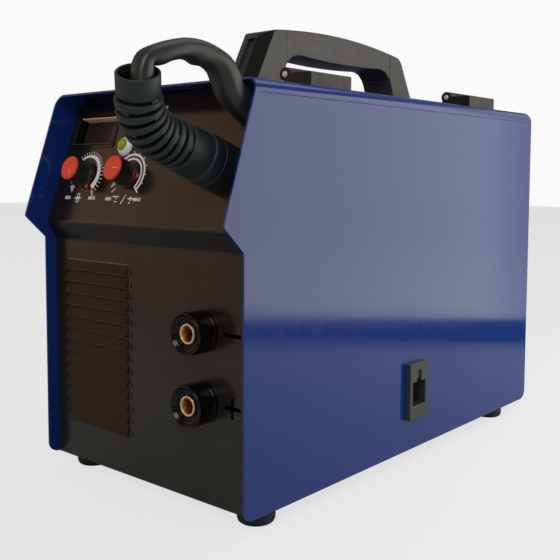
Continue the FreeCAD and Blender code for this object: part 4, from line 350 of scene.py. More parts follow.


# The sheet's folds are rolled. The coat on the sloping underside of the ledge is dull and
# painted darker, as painted shade, and below the ledge its colour is a painted reflection,
# greenish grey near the floor and warm brown higher up. The CAD's plain flaps give way to the hoods.
LEDGE_LOW, LEDGE_HIGH = 186, 209
HOODS_LEFT, HOODS_RIGHT = -100, -14
bm = merged("front_panel")
long = [edge for edge in bm.edges if abs(edge.verts[0].co.x - edge.verts[1].co.x) > 200]
rounded(bm, [edge for edge in long if 190 < edge.verts[0].co.z < 211], 1.9, 5)
flaps = []
for face in bm.faces:
    middle = face.calc_center_median()
    under = face.normal.z < -0.3 and LEDGE_LOW < middle.z < LEDGE_HIGH
    face.material_index = 1 if under else 2 * (middle.z < LEDGE_LOW)
    if middle.y < -208.3 and middle.z < 190 and HOODS_LEFT < middle.x < HOODS_RIGHT:
        flaps.append(face)
bmesh.ops.delete(bm, geom=flaps, context="FACES")
# Painted shade: a coat darker than the black coat, for the underside of the ledge and the hoods.
shaded_coat = finish_of("black_coat_painted_shade", (0.006, 0.0056, 0.0046), 0.26,
                      Specular_IOR_Level=0.22, Specular_Tint=(1.0, 0.90, 0.76, 1.0))
mottle(shaded_coat, 12, 0.23, 0.31, socket="Roughness")
relief(shaded_coat, 1.5, 0.004)
# Painted reflection: the colour runs from greenish grey near the floor to warm brown higher up, as the
# floor and the warm fills would mirror.
front_coat = finish_of("black_coat_painted_reflection_by_height", (0.014, 0.012, 0.010), 0.2,
                       Specular_Tint=(1.0, 0.93, 0.85, 1.0))
mottle(front_coat, 12, 0.17, 0.24, socket="Roughness")
relief(front_coat, 1.5, 0.004)
tree = front_coat.node_tree
parts = tree.nodes.new("ShaderNodeSeparateXYZ")
tree.links.new(tree.nodes.new("ShaderNodeTexCoord").outputs["Object"], parts.inputs["Vector"])
ramp = tree.nodes.new("ShaderNodeValToRGB")
ramp.color_ramp.elements.new(0.1)
tones = ((0.03, (0.017, 0.020, 0.019)), (0.10, (0.015, 0.014, 0.012)), (0.18, (0.017, 0.009, 0.004)))
for element, (height, tone) in zip(ramp.color_ramp.elements, tones):
    element.position = height
    element.color = (*tone, 1.0)
tree.links.new(parts.outputs["Z"], ramp.inputs["Fac"])
tree.links.new(ramp.outputs["Color"], tree.nodes["Principled BSDF"].inputs["Base Color"])
made_piece(bm, "front_sheet", [black_coat, shaded_coat, front_coat], ("front_panel",), limit=2.5)

# Over each air slot the sheet is pressed out into a hood with rounded ends. Its lower lip is rolled
# back.
# The hoods' coat is painted shade, and the lip, the ends and the highest hood's top edge are painted
# highlights.
HOODS, HOOD_PITCH, HOOD_FOOT, HOOD_RISE = 14, 9.7, 43.4, 8.5
HOOD_MIDDLE, HOOD_HALF, HOOD_OUT, SHEET_Y = -57, 41.4, 3.2, -208.12
bm = bmesh.new()
for number in range(HOODS):
    slot = HOOD_FOOT + HOOD_PITCH * number
    sheet = bmesh.ops.create_grid(bm, x_segments=40, y_segments=12, size=1.0)["verts"]
    for face in {face for corner in sheet for face in corner.link_faces}:
        middle = face.calc_center_median()
        topmost = number == HOODS - 1 and middle.y > 0.9
        face.material_index = int(middle.y < -0.85 or abs(middle.x) > 0.9 or topmost)
    for corner in sheet:
        side = math.copysign(1 - (1 - abs(corner.co.x)) ** 2.2, corner.co.x)
        rise = ((corner.co.y + 1) / 2) ** 1.5
        turn = min(max(rise - 0.7, 0) / 0.3, 1.0)
        half = HOOD_HALF - 2.6 * (1 - math.sqrt(1 - turn * turn))
        swell = math.sqrt(1 - (1 - min(half * (1 - abs(side)) / 2.4, 1)) ** 2)
        out = HOOD_OUT * min(1.0, (1 - rise) / 0.86) - 0.5 * max(0.12 - rise, 0) / 0.12
        corner.co = (HOOD_MIDDLE + half * side, SHEET_Y - out * swell, slot + HOOD_RISE * rise)
    lips = [edge for corner in sheet for edge in corner.link_edges
            if all(abs(end.co.z - slot) < 0.001 for end in edge.verts)]
    for shift in ((0, 1.0, 0.05), (0, 0, 2.5)):
        rolled = bmesh.ops.extrude_edge_only(bm, edges=list(set(lips)))["geom"]
        bmesh.ops.translate(bm, verts=only(CORNER, rolled), vec=shift)
        lips = only(EDGE, rolled)
# Painted highlight: a pale brown coat on the lips and the ends of the hoods.
lip_highlight_coat = finish_of("black_coat_painted_highlight_at_lips", (0.095, 0.068, 0.050), 0.35,
                        Specular_IOR_Level=0.4)
mottle(lip_highlight_coat, 12, (0.07, 0.05, 0.036), (0.12, 0.087, 0.065))
made_piece(bm, "louvre_hoods", [shaded_coat, lip_highlight_coat], body="chassis", limit=60)

white_ink = finish_of("white_dial_ink", (0.90, 0.90, 0.88), 0.5)
mottle(white_ink, 1.5, (0.82, 0.82, 0.80), (0.94, 0.94, 0.92))
relief(white_ink, 0.4, 0.01)
DIALS = {"left": (-76, 40), "right": (-22, 40)}
PRINT_OUT = 0.02
bm = bmesh.new()
left, right = on_face(*DIALS["left"], PRINT_OUT), on_face(*DIALS["right"], PRINT_OUT)
arc(bm, left, 12.6, 17.2, 205, -44, grow=True)
arc(bm, left, 15.2, 19.4, 226, 212)
for number in range(31):
    tick(bm, left, 228 - number * 9.1, 17.6, 21.6 if number > 22 else 20.2, 0.5)
tick(bm, left, -49, 17.6, 24.0, 0.6)
for low_radius, high_radius in ((12.7, 14.3), (16.0, 17.8)):
    arc(bm, right, low_radius, high_radius, 205, -42)
tick(bm, right, -43, 13.0, 20.4, 1.3)
for angle in (208, 222):
    tick(bm, right, angle, 15.5, 20.8, 1.0)
for number in range(12):
    tick(bm, right, 205 - number * 22.5, 18.0, 19.8, 0.6)
for place, low, high in ((left, -16.2, 15.2), (right, -17.6, 16.6)):
    words(bm, place @ Matrix.Translation((low, -19.6, 0)), "MIN", 4.0)
    words(bm, place @ Matrix.Translation((high, -19.4, 0)), "MAX", 4.0)
for up in (-17.4, -21.6):
    arc(bm, left @ Matrix.Translation((-2.6, up, 0)), 1.2, 2.0, 0, 360)
block(bm, (-6.8, -20.0, 0), (1.8, -19.1, INK), left)
for low, high in (((-12.6, -18.0), (-5.4, -17.0)), ((-8.6, -19.6), (-7.8, -17.4)),
                  ((-9.6, -22.0), (-6.6, -21.2)), ((5.6, -19.3), (12.2, -18.4)),
                  ((8.4, -20.6), (9.3, -17.0)), ((7.4, -22.6), (9.8, -21.8))):
    block(bm, (*low, 0), (*high, INK), right)
slash = right @ Matrix.Translation((0.6, -19.6, 0)) @ Matrix.Rotation(math.radians(62), 4, "Z")
block(bm, (-4.4, -0.4, 0), (4.4, 0.4, INK), slash)
block(bm, (-2.2, 90.6, PRINT_OUT), (2.2, 96.2, PRINT_OUT + INK), on_face(0, 0))
made_piece(bm, "dial_print", white_ink, body="chassis")


# Output sockets: a twist-lock socket is a glossy black moulding through the panel
# with a nut behind it, and a turned brass contact in its bowl. Two keys in the bowl
# and three ribs in the brass hold the plug. The brass's front face is a painted highlight.
SOCKET_ACROSS, UPRIGHT_Y = 64, -208.2


def on_front(across, height):
    """A place on the upright front: X across, Y up, Z out to the front."""
    turn = Matrix(((1, 0, 0), (0, 0, -1), (0, 1, 0))).to_4x4()
    return Matrix.Translation((across, UPRIGHT_Y, height)) @ turn


black_moulding = finish_of("glossy_black_moulding", (0.004, 0.0035, 0.003), 0.14,
                           Specular_IOR_Level=0.3)
mottle(black_moulding, 5, 0.11, 0.18, socket="Roughness")
relief(black_moulding, 0.8, 0.008)
brass = finish_of("turned_brass", (0.62, 0.36, 0.13), 0.28, 1.0)
mottle(brass, 1.2, 0.2, 0.4, socket="Roughness")
relief(brass, 0.3, 0.006)
# Painted highlight: a pale, less metallic brass on the contact's front face.
brass_rim_highlight = finish_of("brass_painted_highlight_at_rim", (0.86, 0.60, 0.44), 0.4, 0.7)
mottle(brass_rim_highlight, 1.2, 0.32, 0.5, socket="Roughness")
for name, height in (("minus", 136.5), ("plus", 85.5)):
    spot = on_front(SOCKET_ACROSS, height)
    bm = bmesh.new()
    turned(bm, [(15.3, 0.0), (15.3, 3.2), (14.9, 3.6), (14.9, 4.6), (15.3, 5.0), (15.2, 17.0),
                (14.9, 17.7), (14.5, 18.0), (14.0, 18.0), (13.6, 17.7), (12.9, 16.4), (11.8, 15.4),
                (10.9, 15.0), (10.9, 14.6), (10.5, 14.0), (8.8, 14.0), (8.6, 12.6), (7.45, 12.6),
                (7.45, -13.4), (10.0, -13.4), (10.0, -7.5), (14.0, -7.5), (14.0, -1.6),
                (10.1, -1.6), (10.1, 0.0)], spot, 72, True)
    for turn in (45, 225):
        key = spot @ Matrix.Rotation(math.radians(turn), 4, "Z")
        block(bm, (9.0, -1.4, 13.5), (12.0, 1.4, 15.3), key)
    made_piece(bm, f"socket_{name}_moulding", black_moulding, (f"socket_{name}_body",),
               edge=0.2, steps=2)
    bm = bmesh.new()
    turned(bm, [(5.75, 14.9), (5.75, 15.4), (6.0, 15.75), (6.9, 15.85), (7.25, 15.6),
                (7.25, 14.9)], spot, 64, True, 1)
    for turn in (-40, 80, 200):
        rib = spot @ Matrix.Rotation(math.radians(turn), 4, "Z")
        block(bm, (3.4, -0.5, 8.0), (4.8, 0.5, 13.2), rib)
    turned(bm, [(0.0, -27.4), (4.0, -27.4), (4.0, -13.4), (7.3, -13.4), (7.3, 14.9), (5.7, 14.9),
                (4.6, 12.4), (4.6, -8.2), (0.0, -8.2)], spot, 64)
    made_piece(bm, f"socket_{name}_brass", [brass, brass_rim_highlight], (f"socket_{name}_contact",),
               edge=0.12, steps=2)


# Knobs: a black moulding, finely fluted, is pressed onto each spindle. An orange red
# cap with a pale line is let into its front, and a red pointer skirt sits round its foot.
orange_red = finish_of("orange_red_moulding", (0.75, 0.050, 0.014), 0.3)
mottle(orange_red, 6, (0.70, 0.045, 0.012), (0.80, 0.055, 0.016))
relief(orange_red, 0.6, 0.006)
dark_red = finish_of("dark_red_skirt", (0.085, 0.005, 0.009), 0.3)
mottle(dark_red, 3, 0.25, 0.38, socket="Roughness")
pointer_red = finish_of("pointer_red", (0.62, 0.045, 0.055), 0.35)
mottle(pointer_red, 3, (0.56, 0.040, 0.048), (0.68, 0.052, 0.062))
pale_orange = finish_of("pale_orange_line", (0.95, 0.42, 0.26), 0.4)
mottle(pale_orange, 2, (0.90, 0.38, 0.22), (0.97, 0.46, 0.30))
knob_black = finish_of("satin_black_knob", (0.010, 0.009, 0.009), 0.34)
mottle(knob_black, 3, 0.3, 0.42, socket="Roughness")
relief(knob_black, 0.5, 0.01)
FLUTES, FLUTE_DEPTH = 32, 0.022
for side, angle in (("left", -58), ("right", -4)):
    spot = on_face(*DIALS[side])
    bm = bmesh.new()
    turned(bm, [(7.4, 1.8), (10.2, 1.8), (10.2, 3.3), (10.0, 3.6), (9.85, 3.8), (9.8, 15.9),
                (9.6, 16.2), (0.0, 16.2), (0.0, 15.0), (3.0, 15.0), (3.0, 5.0), (7.4, 5.0)],
           None, 96, True)
    for corner in bm.verts:
        radius = corner.co.xy.length
        if 9.7 < radius < 9.86 and corner.co.z > 3.7:
            turn = math.atan2(corner.co.y, corner.co.x) / math.tau * FLUTES
            corner.co.xy *= 1.0 - FLUTE_DEPTH * (abs(turn - round(turn)) > 0.3)
    bmesh.ops.transform(bm, matrix=spot, verts=bm.verts)
    made_piece(bm, f"knob_{side}_black", knob_black, (f"knob_{side}_body",))
    bm = bmesh.new()
    turned(bm, [(0.0, 16.2), (9.7, 16.2), (9.7, 17.2), (9.55, 17.6), (9.1, 17.85), (8.4, 17.95),
                (7.9, 17.85), (7.4, 17.75), (0.0, 17.9)], spot, 72)
    turned(bm, [(7.6, 0.5), (10.9, 0.5), (11.0, 0.7), (11.0, 1.6), (10.9, 1.8), (7.6, 1.8)],
           spot, 72, True, 1)
    pointer = spot @ Matrix.Rotation(math.radians(angle), 4, "Z")
    tip = block(bm, (9.6, -2.8, 0.5), (13.2, 2.8, 1.9), pointer, 2)
    for corner in tip:
        local = pointer.inverted() @ corner.co
        if local.x > 11:
            local.y *= 0.16
            corner.co = pointer @ local
    made_piece(bm, f"knob_{side}_red", [orange_red, dark_red, pointer_red],
               (f"knob_{side}_trim",), edge=0.12, steps=2)
    bm = bmesh.new()
    block(bm, (0.6, -0.35, 17.7), (6.8, 0.35, 17.98), pointer)
    made_piece(bm, f"knob_{side}_line", pale_orange, body=f"knob_{side}", edge=0.08, steps=1)


# Meter: a moulded frame stands a little proud of the panel and its sides run in to
# a smoked window sunk behind it. A pale tan band along the top of the well and pale brown
# lines on the frame's inner edge at the bottom and the right are painted highlights.
frame_black = finish_of("satin_black_frame", (0.011, 0.010, 0.010), 0.3)
mottle(frame_black, 4, 0.26, 0.38, socket="Roughness")
relief(frame_black, 0.5, 0.012)
smoked = finish_of("smoked_window", (0.034, 0.017, 0.014), 0.3, Specular_IOR_Level=0.25)
mottle(smoked, 30, 0.26, 0.34, socket="Roughness")
METER_HALF, METER_CORNER, FRAME_OUT, FRAME_WIDTH, WELL_DEPTH = (27, 15), 1.5, 1.0, 3.6, 8.0
meter_spot = on_face(-79, 78.5)
bm = bmesh.new()
sheet = bmesh.ops.create_grid(bm, x_segments=1, y_segments=1, size=1.0)["verts"]
bmesh.ops.scale(bm, vec=(*METER_HALF, 1.0), verts=sheet)
bmesh.ops.translate(bm, vec=(0, 0, FRAME_OUT), verts=sheet)
bmesh.ops.bevel(bm, geom=sheet, offset=METER_CORNER, offset_type="OFFSET", segments=5,
                profile=0.5, affect="VERTICES", material=-1)
bm.faces.ensure_lookup_table()
rim = bm.faces[-1]
outer = list(rim.edges)
bmesh.ops.inset_region(bm, faces=[rim], thickness=FRAME_WIDTH, depth=0.0, use_even_offset=True)
sunk = bmesh.ops.extrude_discrete_faces(bm, faces=[rim])["faces"][0]
bmesh.ops.translate(bm, verts=sunk.verts, vec=(0, 0, -WELL_DEPTH))
bmesh.ops.scale(bm, vec=(0.975, 0.95, 1.0), verts=sunk.verts)
bmesh.ops.delete(bm, geom=[sunk], context="FACES_ONLY")
skirt = bmesh.ops.extrude_edge_only(bm, edges=[edge for edge in outer if edge.is_valid])
bmesh.ops.translate(bm, verts=only(CORNER, skirt["geom"]), vec=(0, 0, -FRAME_OUT))
bmesh.ops.transform(bm, matrix=meter_spot, verts=bm.verts)
made_piece(bm, "meter_frame", frame_black, ("display_frame",), edge=0.3, steps=3)
dress(smoked, "display_window")
# Painted highlight: a bright tan band inside the top of the well.
well_top_highlight = finish_of("painted_highlight_well_top", (0.85, 0.60, 0.42), 0.55)
mottle(well_top_highlight, 5, (0.78, 0.54, 0.37), (0.92, 0.66, 0.47))
bm = bmesh.new()
block(bm, (-22.4, 10.3, -6.9), (22.4, 11.3, 0.7), meter_spot)
made_piece(bm, "meter_well_highlight", well_top_highlight, body="chassis", edge=0.15, steps=2)
# Painted highlight: pale brown lines on the frame's inner edge at the bottom and the right.
frame_edge_highlight = finish_of("painted_highlight_frame_edge", (0.085, 0.062, 0.045), 0.4)
mottle(frame_edge_highlight, 6, (0.065, 0.048, 0.035), (0.105, 0.077, 0.056))
bm = bmesh.new()
block(bm, (-23.4, -12.1, 0.7), (23.6, -11.5, 1.05), meter_spot)
block(bm, (22.9, -11.5, 0.7), (23.5, 10.0, 1.05), meter_spot)
made_piece(bm, "meter_edge_highlight", frame_edge_highlight, body="chassis", edge=0.1, steps=2)


# Pilot lamp: a white moulded bezel, pushed through the panel, with a faceted jewel lens
# of yellow green plastic pressed into it.
white_moulding = finish_of("white_moulding", (0.92, 0.92, 0.88), 0.35)
mottle(white_moulding, 4, 0.3, 0.42, socket="Roughness")
lamp_jewel = finish_of("yellow_green_jewel", (0.50, 0.62, 0.03), 0.12,
                       Transmission_Weight=0.35, IOR=1.49)
mottle(lamp_jewel, 5, (0.42, 0.55, 0.02), (0.62, 0.72, 0.06))
JEWEL_FACETS = 10
spot = on_face(-35.4, 64)
bm = bmesh.new()
turned(bm, [(0.0, -9.0), (5.4, -9.0), (5.4, 0.0), (8.2, 0.0), (8.2, 0.6), (8.0, 1.1), (5.6, 4.0),
            (5.1, 4.2), (4.9, 4.0), (4.8, 3.0), (4.8, -4.5), (0.0, -4.5)], spot, 48)
made_piece(bm, "lamp_ring", white_moulding, ("lamp_bezel",), edge=0.15, steps=2)
bm = bmesh.new()
turned(bm, [(0.0, -4.5), (4.7, -4.5), (4.7, 4.2), (4.3, 5.3), (3.0, 6.5), (1.5, 7.1), (0.0, 7.2)],
       spot, JEWEL_FACETS)
made_piece(bm, "lamp_jewel", lamp_jewel, ("lamp_lens",), edge=0.15, steps=2, limit=12)


# Torch sleeve: one ribbed rubber moulding on a bend. A smooth base stands squarely on
# the panel, eight rings follow with slots between them that let it bend, bridged by
# turns at the sides and at top and bottom, and the end is an open collar.
SLEEVE_FOOT, SLEEVE_LEAN, SLEEVE_BEND = (76, 45.2), math.radians(28.5), math.radians(52.2)
SLEEVE_STRAIGHT, SLEEVE_RADIUS, SLEEVE_LENGTH = 58.5, 39.9, 111.15
RINGS, RINGS_START, RING_PITCH, SLOT_SHARE = 8, 43.5, 51.35 / 8, 0.36
FACE_OUT = Vector((0, -math.cos(TILT), math.sin(TILT)))
FACE_UP = Vector((0, math.sin(TILT), math.cos(TILT)))


def crest(number):
    """The radius of a ring. They shrink a little towards the collar."""
    return 16.8 - 1.6 * min(number, RINGS - 1) / (RINGS - 1)


def sleeve_place(along):
    """The sleeve's line at a distance from the panel: Z along it, X steady."""
    side = FACE_UP * math.cos(SLEEVE_LEAN) + Vector((1, 0, 0)) * math.sin(SLEEVE_LEAN)
    base = on_face(*SLEEVE_FOOT).translation
    angle = min(max(along - SLEEVE_STRAIGHT, 0) / SLEEVE_RADIUS, SLEEVE_BEND)
    over = max(along - SLEEVE_STRAIGHT - SLEEVE_RADIUS * SLEEVE_BEND, 0)
    centre = (base + FACE_OUT * (min(along, SLEEVE_STRAIGHT) + SLEEVE_RADIUS * math.sin(angle))
              + side * SLEEVE_RADIUS * (1 - math.cos(angle)))
    forward = FACE_OUT * math.cos(angle) + side * math.sin(angle)
    across = side.cross(FACE_OUT).normalized()
    turn = Matrix((across, forward.cross(across), forward)).transposed().to_4x4()
    return Matrix.Translation(centre + forward * over) @ turn


sleeve_rubber = finish_of("sleeve_rubber", (0.010, 0.018, 0.021), 0.46)
mottle(sleeve_rubber, 8, (0.008, 0.015, 0.018), (0.012, 0.022, 0.026))
mottle(sleeve_rubber, 2.5, 0.4, 0.56, socket="Roughness")
relief(sleeve_rubber, 0.9, 0.02)
profile = [(12.8, -12.0), (12.8, 0.0), (18.2, 0.0), (18.4, 0.4), (18.4, 15.0), (17.9, 15.4),
           (17.9, 16.2), (18.4, 16.6), (18.4, 24.4), (18.1, 25.0), (17.2, 25.3), (17.0, 26.0),
           (17.0, 42.6), (16.4, 43.2)]
for number in range(RINGS):
    ring, start = crest(number), RINGS_START + RING_PITCH * number
    profile += [(ring - 4.4, start + 0.1), (ring - 4.4, start + RING_PITCH * SLOT_SHARE)]
    profile += [(ring - deep, start + RING_PITCH * share)
                for deep, share in ((0.5, 0.38), (0, 0.46), (0, 0.90), (0.5, 0.985))]
profile += [(10.9, 94.95), (10.9, 96.8), (13.6, 97.0), (14.0, 97.5), (14.0, 110.6), (13.8, 111.0),
            (13.4, 111.15), (12.6, 111.1), (12.3, 110.7), (12.3, 97.2), (10.5, 97.0), (10.5, 60.0),
            (10.5, -12.0)]
bm = bmesh.new()
turned(bm, profile, None, 72, True)
bmesh.ops.recalc_face_normals(bm, faces=bm.faces)
# The bridges grow from the slots' roots and stop short of the rings' crests.
for number in range(RINGS + 1):
    start = RINGS_START + RING_PITCH * number
    turn = math.radians(90 if number % 2 else 0)
    for half in (0, math.pi):
        roots = []
        for face in bm.faces:
            centre = face.calc_center_median()
            off = (math.atan2(centre.y, centre.x) - turn - half + math.pi) % math.tau - math.pi
            outward = abs(face.normal.z) < 0.3 and face.normal.xy.dot(centre.xy) > 0
            in_slot = start < centre.z < start + RING_PITCH * SLOT_SHARE
            if outward and in_slot and 10.6 < centre.xy.length < 13.2 and abs(off - 0.4) < 0.24:
                roots.append(face)
        if not roots:
            continue
        for corner in only(CORNER, bmesh.ops.extrude_face_region(bm, geom=roots)["geom"]):
            corner.co.xy *= (crest(number) - 1.4) / corner.co.xy.length
        bmesh.ops.delete(bm, geom=roots, context="FACES")
# The straight sleeve is laid along its bent line. Its neck behind the panel stays straight.
for corner in bm.verts:
    place = sleeve_place(max(corner.co.z, 0))
    corner.co = place @ Vector((corner.co.x, corner.co.y, min(corner.co.z, 0)))
made_piece(bm, "ribbed_sleeve", sleeve_rubber, ("torch_sleeve",), edge=0.25, steps=2, limit=40)
nut_black = finish_of("black_nut", (0.012, 0.012, 0.012), 0.45)
relief(nut_black, 0.6, 0.02)
dress(nut_black, "sleeve_nut")


# Front grip: a moulded bar that rises out of the sleeve's collar, arches back with
# finger bumps under it, and comes down into a seat ring on the panel, where a bolt
# from behind holds it.
def catmull(points, share):
    """A smooth value between listed values, at a share of the whole run."""
    run = share * (len(points) - 1)
    at = min(int(run), len(points) - 2)
    t = run - at
    a, b, c, d = (points[min(max(at + step, 0), len(points) - 1)] for step in (-1, 0, 1, 2))
    slope, bend, twist = c - a, a * 2 - b * 5 + c * 4 - d, b * 3 - a - c * 3 + d
    return b + slope * (t * 0.5) + bend * (t * t * 0.5) + twist * (t * t * t * 0.5)


grip_grey = finish_of("satin_grey_grip", (0.020, 0.022, 0.023), 0.36)
mottle(grip_grey, 25, (0.018, 0.020, 0.021), (0.023, 0.025, 0.026))
mottle(grip_grey, 3, 0.31, 0.43, socket="Roughness")
relief(grip_grey, 0.6, 0.012)
GRIP_FOOT, GRIP_TIP_HALF, GRIP_FOOT_HALF, ARCH_RISE, GRIP_LOOPS = (97.5, 84), 7.2, 10.3, 37.8, 64
FINGER_BUMPS = ((0.245, 1.3), (0.50, 1.5))
collar_end = sleeve_place(SLEEVE_LENGTH)
start = collar_end.translation - collar_end.col[2].xyz * 9.0 + Vector((3.9, 0, 0))
foot = on_face(*GRIP_FOOT).translation
# Each station is a share of the way to the foot, a share of the arch's rise over the
# foot, and the bar's half depth and half width there.
stations = [(0.001, 0.570, 6.5, 7.0), (0.011, 0.725, 5.3, 7.2), (0.048, 0.820, 5.3, 8.0),
            (0.140, 0.892, 6.3, 9.2), (0.223, 0.958, 6.4, 9.6), (0.314, 1.010, 6.6, 9.6),
            (0.399, 1.012, 7.0, 9.6), (0.479, 0.975, 7.5, 9.6), (0.560, 0.920, 7.3, 9.8),
            (0.640, 0.800, 8.1, 10.1), (0.693, 0.605, 9.0, 10.3), (0.744, 0.377, 9.3, 10.3),
            (0.850, 0.183, 9.8, 10.3)]
line, depths, widths = [start], [GRIP_TIP_HALF], [GRIP_TIP_HALF]
for along, height, depth, width in stations:
    point = start.lerp(foot, along)
    point.z = foot.z + ARCH_RISE * height
    line.append(point)
    depths.append(depth)
    widths.append(width)
for out in (8.0, 0.4):
    line.append(on_face(*GRIP_FOOT, out).translation)
    depths.append(GRIP_FOOT_HALF)
    widths.append(GRIP_FOOT_HALF)
bm = bmesh.new()
loops = []
for number in range(GRIP_LOOPS + 1):
    share = number / GRIP_LOOPS
    centre = catmull(line, share)
    ahead, behind = catmull(line, min(share + 0.01, 1)), catmull(line, max(share - 0.01, 0))
    forward = (ahead - behind).normalized()
    if share > 0.93:
        forward = -FACE_OUT
    side = (Vector((1, 0, 0)) - forward * forward.x).normalized()
    lift = side.cross(forward)
    depth, width = catmull(depths, share), catmull(widths, share)
    place = Matrix.Translation(centre) @ Matrix((side, lift, forward)).transposed().to_4x4()
    ring = bmesh.ops.create_circle(bm, segments=32, radius=1.0)["verts"]
    bump = sum(size * math.exp(-((share - at) / 0.035) ** 2) for at, size in FINGER_BUMPS)
    for corner in ring:
        x, y = corner.co.x, corner.co.y
        squarer = (abs(x) ** 2.6 + abs(y) ** 2.6) ** (-1 / 2.6)
        down = max(-y * math.copysign(1, lift.z), 0)
        reach = depth + bump * down
        corner.co = place @ Vector((x * squarer * width, y * squarer * reach, 0))
    loops.append({edge for corner in ring for edge in corner.link_edges})
for near, far in zip(loops, loops[1:]):
    bmesh.ops.bridge_loops(bm, edges=list(near | far))
for loop in (loops[0], loops[-1]):
    bmesh.ops.edgeloop_fill(bm, edges=list(loop))
made_piece(bm, "finger_grip", grip_grey, ("front_grip",), edge=1.2, steps=3, limit=50)
bm = bmesh.new()
turned(bm, [(11.0, 0.0), (13.6, 0.0), (13.6, 5.2), (13.2, 6.3), (12.3, 7.0), (11.4, 7.0),
            (11.1, 6.6)], on_face(*GRIP_FOOT), 64, True)
made_piece(bm, "grip_ring", grip_grey, ("grip_seat",), edge=0.2, steps=2)


# Carry handle: a moulded bow along the hood in three mouldings that meet at fine
# seams: a grip with a swelling palm, and an end at each side, screwed from inside.
# The front end is cut back to a narrow nose, hollowed by a moulding pocket.
BOW_MIDDLE, HOOD_TOP, BOW_HALF, CROWN, PALM, SEAM = 18.0, 312.0, 17, 7.0, 3.4, 79.5
TOP_HALF, TOP_REAR, TOP_FRONT, OPENING_HALF, OPENING_HIGH = 98.5, 52.5, 56.5, 76.5, 39.8


def bow(bm):
    """The handle's side view, rounded at its corners, pushed out to its width."""
    outline = [Vector((BOW_MIDDLE + along, HOOD_TOP + up)) for along, up in (
        (-127.5, 0), (-91.5, 0), (-OPENING_HALF, OPENING_HIGH), (OPENING_HALF, OPENING_HIGH),
        (91.5, 0), (127.5, 0), (TOP_HALF, TOP_REAR), (-TOP_HALF, TOP_FRONT))]
    corners = [bm.verts.new((-BOW_HALF, *spot)) for spot in outline]
    bm.faces.new(corners)
    for number, radius in ((2, 24.0), (3, 24.0), (6, 9.0), (7, 9.0)):
        spot = outline[number]
        between = (outline[number - 1] - spot).angle(outline[(number + 1) % 8] - spot)
        bmesh.ops.bevel(bm, geom=[corners[number]], offset=radius / math.tan(between / 2),
                        offset_type="OFFSET", segments=10, profile=0.5, affect="VERTICES",
                        material=-1)
    long = [edge for edge in bm.edges if edge.calc_length() > 60]
    bmesh.ops.subdivide_edges(bm, edges=long, cuts=24)
    for corner in bm.verts:
        y, z = corner.co.y - BOW_MIDDLE, corner.co.z - HOOD_TOP
        if z > 45 and abs(y) < TOP_HALF:
            corner.co.z += CROWN * (1 - (y / TOP_HALF) ** 2)
        elif 38 < z < 42 and abs(y) < OPENING_HALF:
            corner.co.z -= PALM * (1 - (y / OPENING_HALF) ** 2)
    solid = bmesh.ops.extrude_face_region(bm, geom=bm.faces[:])
    bmesh.ops.translate(bm, verts=only(CORNER, solid["geom"]), vec=(2 * BOW_HALF, 0, 0))
    bmesh.ops.recalc_face_normals(bm, faces=bm.faces)
    sides = [edge for edge in bm.edges if abs(edge.verts[0].co.x - edge.verts[1].co.x) < 0.1
             and edge.verts[0].co.z + edge.verts[1].co.z > 2 * HOOD_TOP + 1]
    rounded(bm, sides, 1.8, 4)


def keep_side(bm, spot, normal):
    """Cuts at a plane, drops what lies on its normal's side and closes the cut."""
    cut = bmesh.ops.bisect_plane(bm, geom=bm.verts[:] + bm.edges[:] + bm.faces[:], dist=0.0001,
                                 plane_co=spot, plane_no=normal, clear_outer=True)
    bmesh.ops.contextual_create(bm, geom=only(EDGE, cut["geom_cut"]))


# Painted shade: a much darker, glossier black for the cut at the handle's front end.
nose_shade_black = finish_of("handle_nose_painted_shade", (0.006, 0.006, 0.005), 0.3, Specular_IOR_Level=0.3)
mottle(nose_shade_black, 3, 0.26, 0.38, socket="Roughness")
handle_grey = finish_of("satin_handle_grey", (0.036, 0.036, 0.040), 0.42)
mottle(handle_grey, 30, (0.033, 0.033, 0.037), (0.039, 0.039, 0.043))
mottle(handle_grey, 3, 0.34, 0.48, socket="Roughness")
relief(handle_grey, 0.7, 0.015)
bm = bmesh.new()
bow(bm)
for side in (1, -1):
    keep_side(bm, (0, BOW_MIDDLE + side * SEAM, 0), (0, side, 0))
bmesh.ops.scale(bm, vec=(0.99, 1, 1), verts=bm.verts)
made_piece(bm, "handle_middle", handle_grey, ("carry_handle_grip",), edge=0.3, steps=2, limit=40)
bm = bmesh.new()
for side in (-1, 1):
    part = bmesh.new()
    bow(part)
    keep_side(part, (0, BOW_MIDDLE + side * (SEAM + 0.4), 0), (0, -side, 0))
    if side < 0:
        top = HOOD_TOP + TOP_FRONT
        for across, middle in ((1, 1.5), (-1, -9.0)):
            one = Vector((BOW_HALF * across, -77.5, top))
            two = Vector((BOW_HALF * across, -106.5, HOOD_TOP))
            three = Vector((middle, -80.5, top))
            normal = (two - one).cross(three - one)
            normal *= 1 if normal.x * across > 0 else -1
            keep_side(part, one, normal)
        slope = Vector((0, -TOP_FRONT, 127.5 - TOP_HALF)).normalized()
        part.normal_update()
        nose = [face for face in part.faces if face.normal.dot(slope) > 0.99 and face.calc_area() > 100]
        bmesh.ops.inset_region(part, faces=nose, thickness=1.0, depth=0.0, use_even_offset=True)
        bmesh.ops.inset_region(part, faces=nose, thickness=0.4, depth=-3.0, use_even_offset=True)
        # The cut on the door's side is painted darker, as painted shade, and made glossier.
        for face in part.faces:
            if face.normal.y < -0.35 and face.calc_center_median().y < -72 and face.normal.x > 0.1:
                face.material_index = 1
    mesh = bpy.data.meshes.new("handle_end")
    part.to_mesh(mesh)
    part.free()
    bm.from_mesh(mesh)
    bpy.data.meshes.remove(mesh)
made_piece(bm, "handle_ends", [handle_grey, nose_shade_black], ("carry_handle_ends",),
           edge=0.5, steps=3, limit=30)


